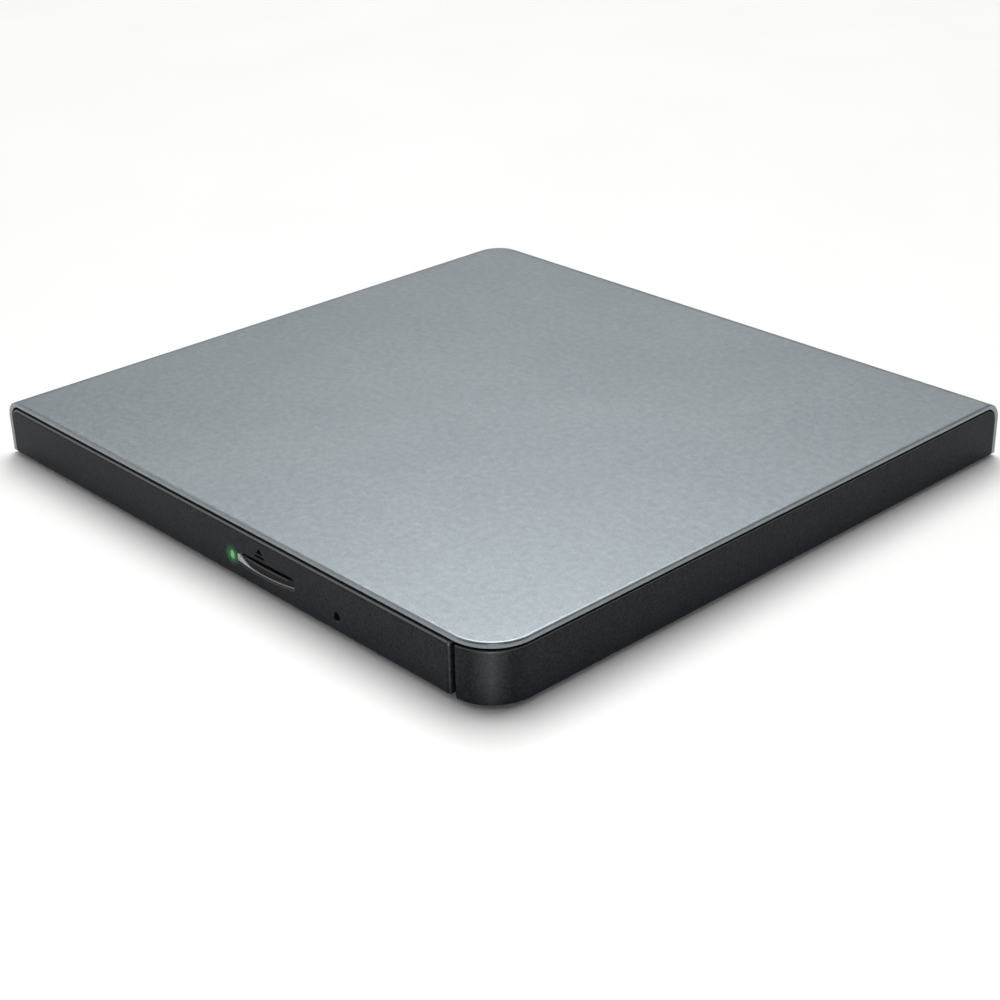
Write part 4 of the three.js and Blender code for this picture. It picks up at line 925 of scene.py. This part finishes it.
# ------------------------------------------------------------------ ribbon, boards and small parts
def make_ribbon():
    """The flat cable: fixed to the case at the rear, folded under the tray, and fixed to the tray."""
    low, high = corners("tray_flex")
    width, rear, fold, end = 6.0, high.y, low.y + 0.6, 48.0
    left = low.x
    z0, z1 = low.z + 0.03, low.z + 0.28
    points = [(rear - d, 0) for d in np.linspace(0, rear - fold, 60)]
    points += [(fold + d, 1) for d in np.linspace(0, end - fold, 54)][1:]
    lengths = np.concatenate([[0], np.cumsum([abs(b[0] - a[0]) for a, b in zip(points, points[1:])])])
    share = lengths / lengths[-1]
    rise = 0.5 - np.sin(np.arcsin(1 - 2 * share) / 3)
    bm = bmesh.new()
    columns = np.linspace(left, left + width, 7)
    rows = [[bm.verts.new(Vector((x, y, z0 + (z1 - z0) * t)) * MM) for x in columns]
            for (y, _), t in zip(points, rise)]
    for a, b in zip(rows, rows[1:]):
        for i in range(len(columns) - 1):
            bm.faces.new((a[i], a[i + 1], b[i + 1], b[i]))
    ribbon = add_object("ribbon_loop", bm)
    ribbon.data.shade_smooth()
    ribbon.data.materials.append(FINISH["amber_film"].material)
    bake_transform(ribbon)
    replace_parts(ribbon, "tray_flex")
    thick = ribbon.modifiers.new("thickness", "SOLIDIFY")
    thick.thickness, thick.offset = 0.05 * MM, 0
    plug = corners("flex_connector")[0].x
    foot, lift = low.z + 0.09, high.z
    profile = [
        (left + width - 0.5, foot), (plug - 1.4, foot), (plug - 0.9, foot + 0.1), (plug - 0.6, foot + 0.5),
        (plug - 0.5, lift - 0.5), (plug - 0.35, lift - 0.12), (plug, lift), (plug + 1.4, lift),
    ]
    lower = offset_line(profile, 0.04)
    upper = offset_line(profile, -0.04)
    lead = loft("ribbon_lead", [stand(lower + upper[::-1], y, "y") for y in (rear - width, rear)])
    attach(smoothed(lead), "case", "amber_film")
    pad = block("ribbon_anchor", left - 0.4, left + width + 0.4, end - 3, end + 0.5, z1 + 0.035, z1 + 0.06)
    attach(pad, "tray", "amber_film")


def offset_line(points, distance):
    """An open line moved sideways by a distance."""
    moved = []
    for i, point in enumerate(points):
        a, b = points[max(0, i - 1)], points[min(len(points) - 1, i + 1)]
        along = Vector((b[0] - a[0], b[1] - a[1])).normalized()
        moved.append((point[0] + along.y * distance, point[1] - along.x * distance))
    return moved


def many(name, boxes, body, slot, finish, bevel=0.04):
    """One piece made of many small blocks, each with broken edges."""
    bm = bmesh.new()
    for x0, x1, y0, y1, z0, z1 in boxes:
        made = bmesh.ops.create_cube(bm, size=1.0)
        size = Vector((x1 - x0, y1 - y0, z1 - z0)) * MM
        centre = Vector((x0 + x1, y0 + y1, z0 + z1)) / 2 * MM
        bmesh.ops.scale(bm, vec=size, verts=made["verts"])
        bmesh.ops.translate(bm, vec=centre, verts=made["verts"])
    obj = add_object(name, bm)
    return attach(smoothed(eased(obj, bevel)), body, slot, finish)


def about(x, y, half_x, half_y):
    """The four sides of a rectangle round a point."""
    return x - half_x, x + half_x, y - half_y, y + half_y


def make_leads():
    """Gull-wing legs along two or four sides of each package."""
    for node, pitch, sides in (
        ("usb_bridge_chip", 0.8, 4), ("controller_chip", 0.8, 4), ("motor_driver_chip", 1.0, 2),
    ):
        low, high = corners(node)
        board = corners("main_board")[1].z
        centre, half = (low + high) / 2, (high.x - low.x) / 2
        legs = []
        count = int((2 * half - 1.4) / pitch) + 1
        room = min(centre.x + half + 1.1, corners("main_board")[1].x) - centre.x - half
        for i in range(count):
            s = (i - (count - 1) / 2) * pitch
            for side in range(sides):
                turn = (side * 2 if sides == 2 else side) % 4
                for reach0, reach1, z0, z1 in (
                    (half - 0.2, half + 0.35, board + 0.5, board + 0.64),
                    (half + 0.25, half + 0.39, board + 0.02, board + 0.64),
                    (half + 0.25, half + min(0.95, room), board + 0.02, board + 0.16),
                ):
                    a, b, c, d = reach0, reach1, s - 0.16, s + 0.16
                    x0, x1, y0, y1 = ((a, b, c, d), (c, d, a, b), (-b, -a, c, d), (c, d, -b, -a))[turn]
                    legs.append((centre.x + x0, centre.x + x1, centre.y + y0, centre.y + y1, z0, z1))
        many(node + "_legs", legs, "case", "circuit_board", "solder", 0.02)


def make_board_parts():
    """Small chip capacitors and resistors with their solder ends, on the main board and the front board."""
    low, high = corners("main_board")
    top = high.z
    bodies, caps = [], []
    chips = "usb_bridge_chip", "controller_chip", "motor_driver_chip"
    keep = [corners(node) for node in (*chips, "flex_connector", "usb_socket_shell")]
    for row in range(34):
        for column in range(3):
            x = low.x + 1.6 + column * 4.6 + (row * 37 % 11) * 0.12
            y = low.y + 4.5 + row * 3.1 + (row * 53 % 7) * 0.15
            if x > high.x - 1.6 or y > high.y - 2:
                continue
            if any(a.x - 1.9 < x < b.x + 1.9 and a.y - 1.9 < y < b.y + 1.9 for a, b in keep):
                continue
            long, wide = (1.0, 0.5) if (row + column) % 3 else (1.6, 0.8)
            tall = 0.35 if (row * column) % 2 else 0.6
            dx, dy = (long, wide) if (row + column) % 2 else (wide, long)
            bodies.append((*about(x, y, dx / 2, dy / 2), top + 0.02, top + tall))
            for side in (-1, 1):
                ex, ey = (dx / 2 * side, 0) if dx > dy else (0, dy / 2 * side)
                hx, hy = (0.14, dy / 2 + 0.02) if dx > dy else (dx / 2 + 0.02, 0.14)
                caps.append((*about(x + ex, y + ey, hx, hy), top + 0.01, top + tall + 0.02))
    many("board_parts", bodies, "case", "circuit_board", "ceramic")
    many("board_solder", caps, "case", "circuit_board", "solder", 0.03)
    front_low, front_high = corners("front_board")
    lift = front_high.z
    small, ends = [], []
    for i in range(6):
        x, y = front_low.x + 8.2 + i * 2.6 + (4 if i > 1 else 0), front_low.y + 4.2 + (i % 2) * 1.3
        small.append((*about(x, y, 0.5, 0.28), lift + 0.01, lift + 0.35))
        for side in (-1, 1):
            ends.append((*about(x + side * 0.5, y, 0.14, 0.3), lift + 0.01, lift + 0.37))
    many("front_board_parts", small, "tray", "circuit_board", "ceramic")
    many("front_board_solder", ends, "tray", "circuit_board", "solder", 0.03)


def make_windings():
    """Copper windings round the nine stator poles."""
    coils = []
    for i in range(9):
        for k in range(4):
            r0 = 6.1 + k * 0.75
            ring = cornered(-1.15, 1.15, 4.9, 6.62, [0.5] * 4, 4)
            coils.append(turned(prism("turn", ring, r0, r0 + 0.6, "x", 0.14, 0.14, 2), i * 40 + 20))
    bm = bmesh.new()
    for coil in coils:
        bm.from_mesh(coil.data)
    for coil in coils:
        bpy.data.objects.remove(coil)
    windings = add_object("stator_windings", bm)
    attach(smoothed(to_pickup(windings)), "tray", "dark_steel", "copper_wire")


make_ribbon()
make_leads()
make_board_parts()
make_windings()


# ------------------------------------------------------------------ floor and light
def make_stage():
    reach = 4000
    floor = block("floor", -reach, reach, -reach, reach, -4, 0)
    s = Shader("floor_white")
    wash = s.spread(s.noise(260.0, 2.0), 0.3, 0.7, 0.985, 1.0)
    rough = s.spread(s.noise(40.0), 0.3, 0.7, 0.42, 0.46)
    s.set(Base_Color=s.scaled((0.93, 0.925, 0.92), wash), Roughness=rough, Specular_IOR_Level=0.25)
    floor.data.materials.append(s.material)


def sun(name, azimuth, elevation, spread, power):
    """A broad distant light. Azimuth is where it comes from: 0 is the front, 90 the right."""
    data = bpy.data.lights.new(name, "SUN")
    data.angle, data.energy = math.radians(spread), power
    lamp = bpy.data.objects.new(name, data)
    a, e = math.radians(azimuth), math.radians(elevation)
    towards = Vector((math.sin(a) * math.cos(e), -math.cos(a) * math.cos(e), math.sin(e)))
    lamp.rotation_mode = "QUATERNION"
    lamp.rotation_quaternion = towards.to_track_quat("Z", "Y")
    SCENE.collection.objects.link(lamp)


def make_world(strength):
    """A white backdrop beyond the floor, which gives the object only a faint fill."""
    world = bpy.data.worlds.new("studio")
    world.use_nodes = True
    tree = world.node_tree
    background = tree.nodes["Background"]
    background.inputs["Color"].default_value = (1, 1, 1, 1)
    seen = tree.nodes.new("ShaderNodeLightPath").outputs["Is Camera Ray"]
    level = tree.nodes.new("ShaderNodeMapRange")
    level.inputs["To Min"].default_value = strength
    level.inputs["To Max"].default_value = 1.1
    tree.links.new(seen, level.inputs["Value"])
    tree.links.new(level.outputs[0], background.inputs["Strength"])
    SCENE.world = world


make_stage()
sun("key", 225, 63, 50, 2.75)
sun("rear_edge", 227, 44, 20, 0.29)
sun("left_fill", 300, 32, 60, 0.66)
sun("rear_fill", 155, 40, 60, 0.4)
sun("front_fill", 47, 24, 14, 0.38)
make_world(0.045)
SCENE.view_settings.view_transform = "Standard"
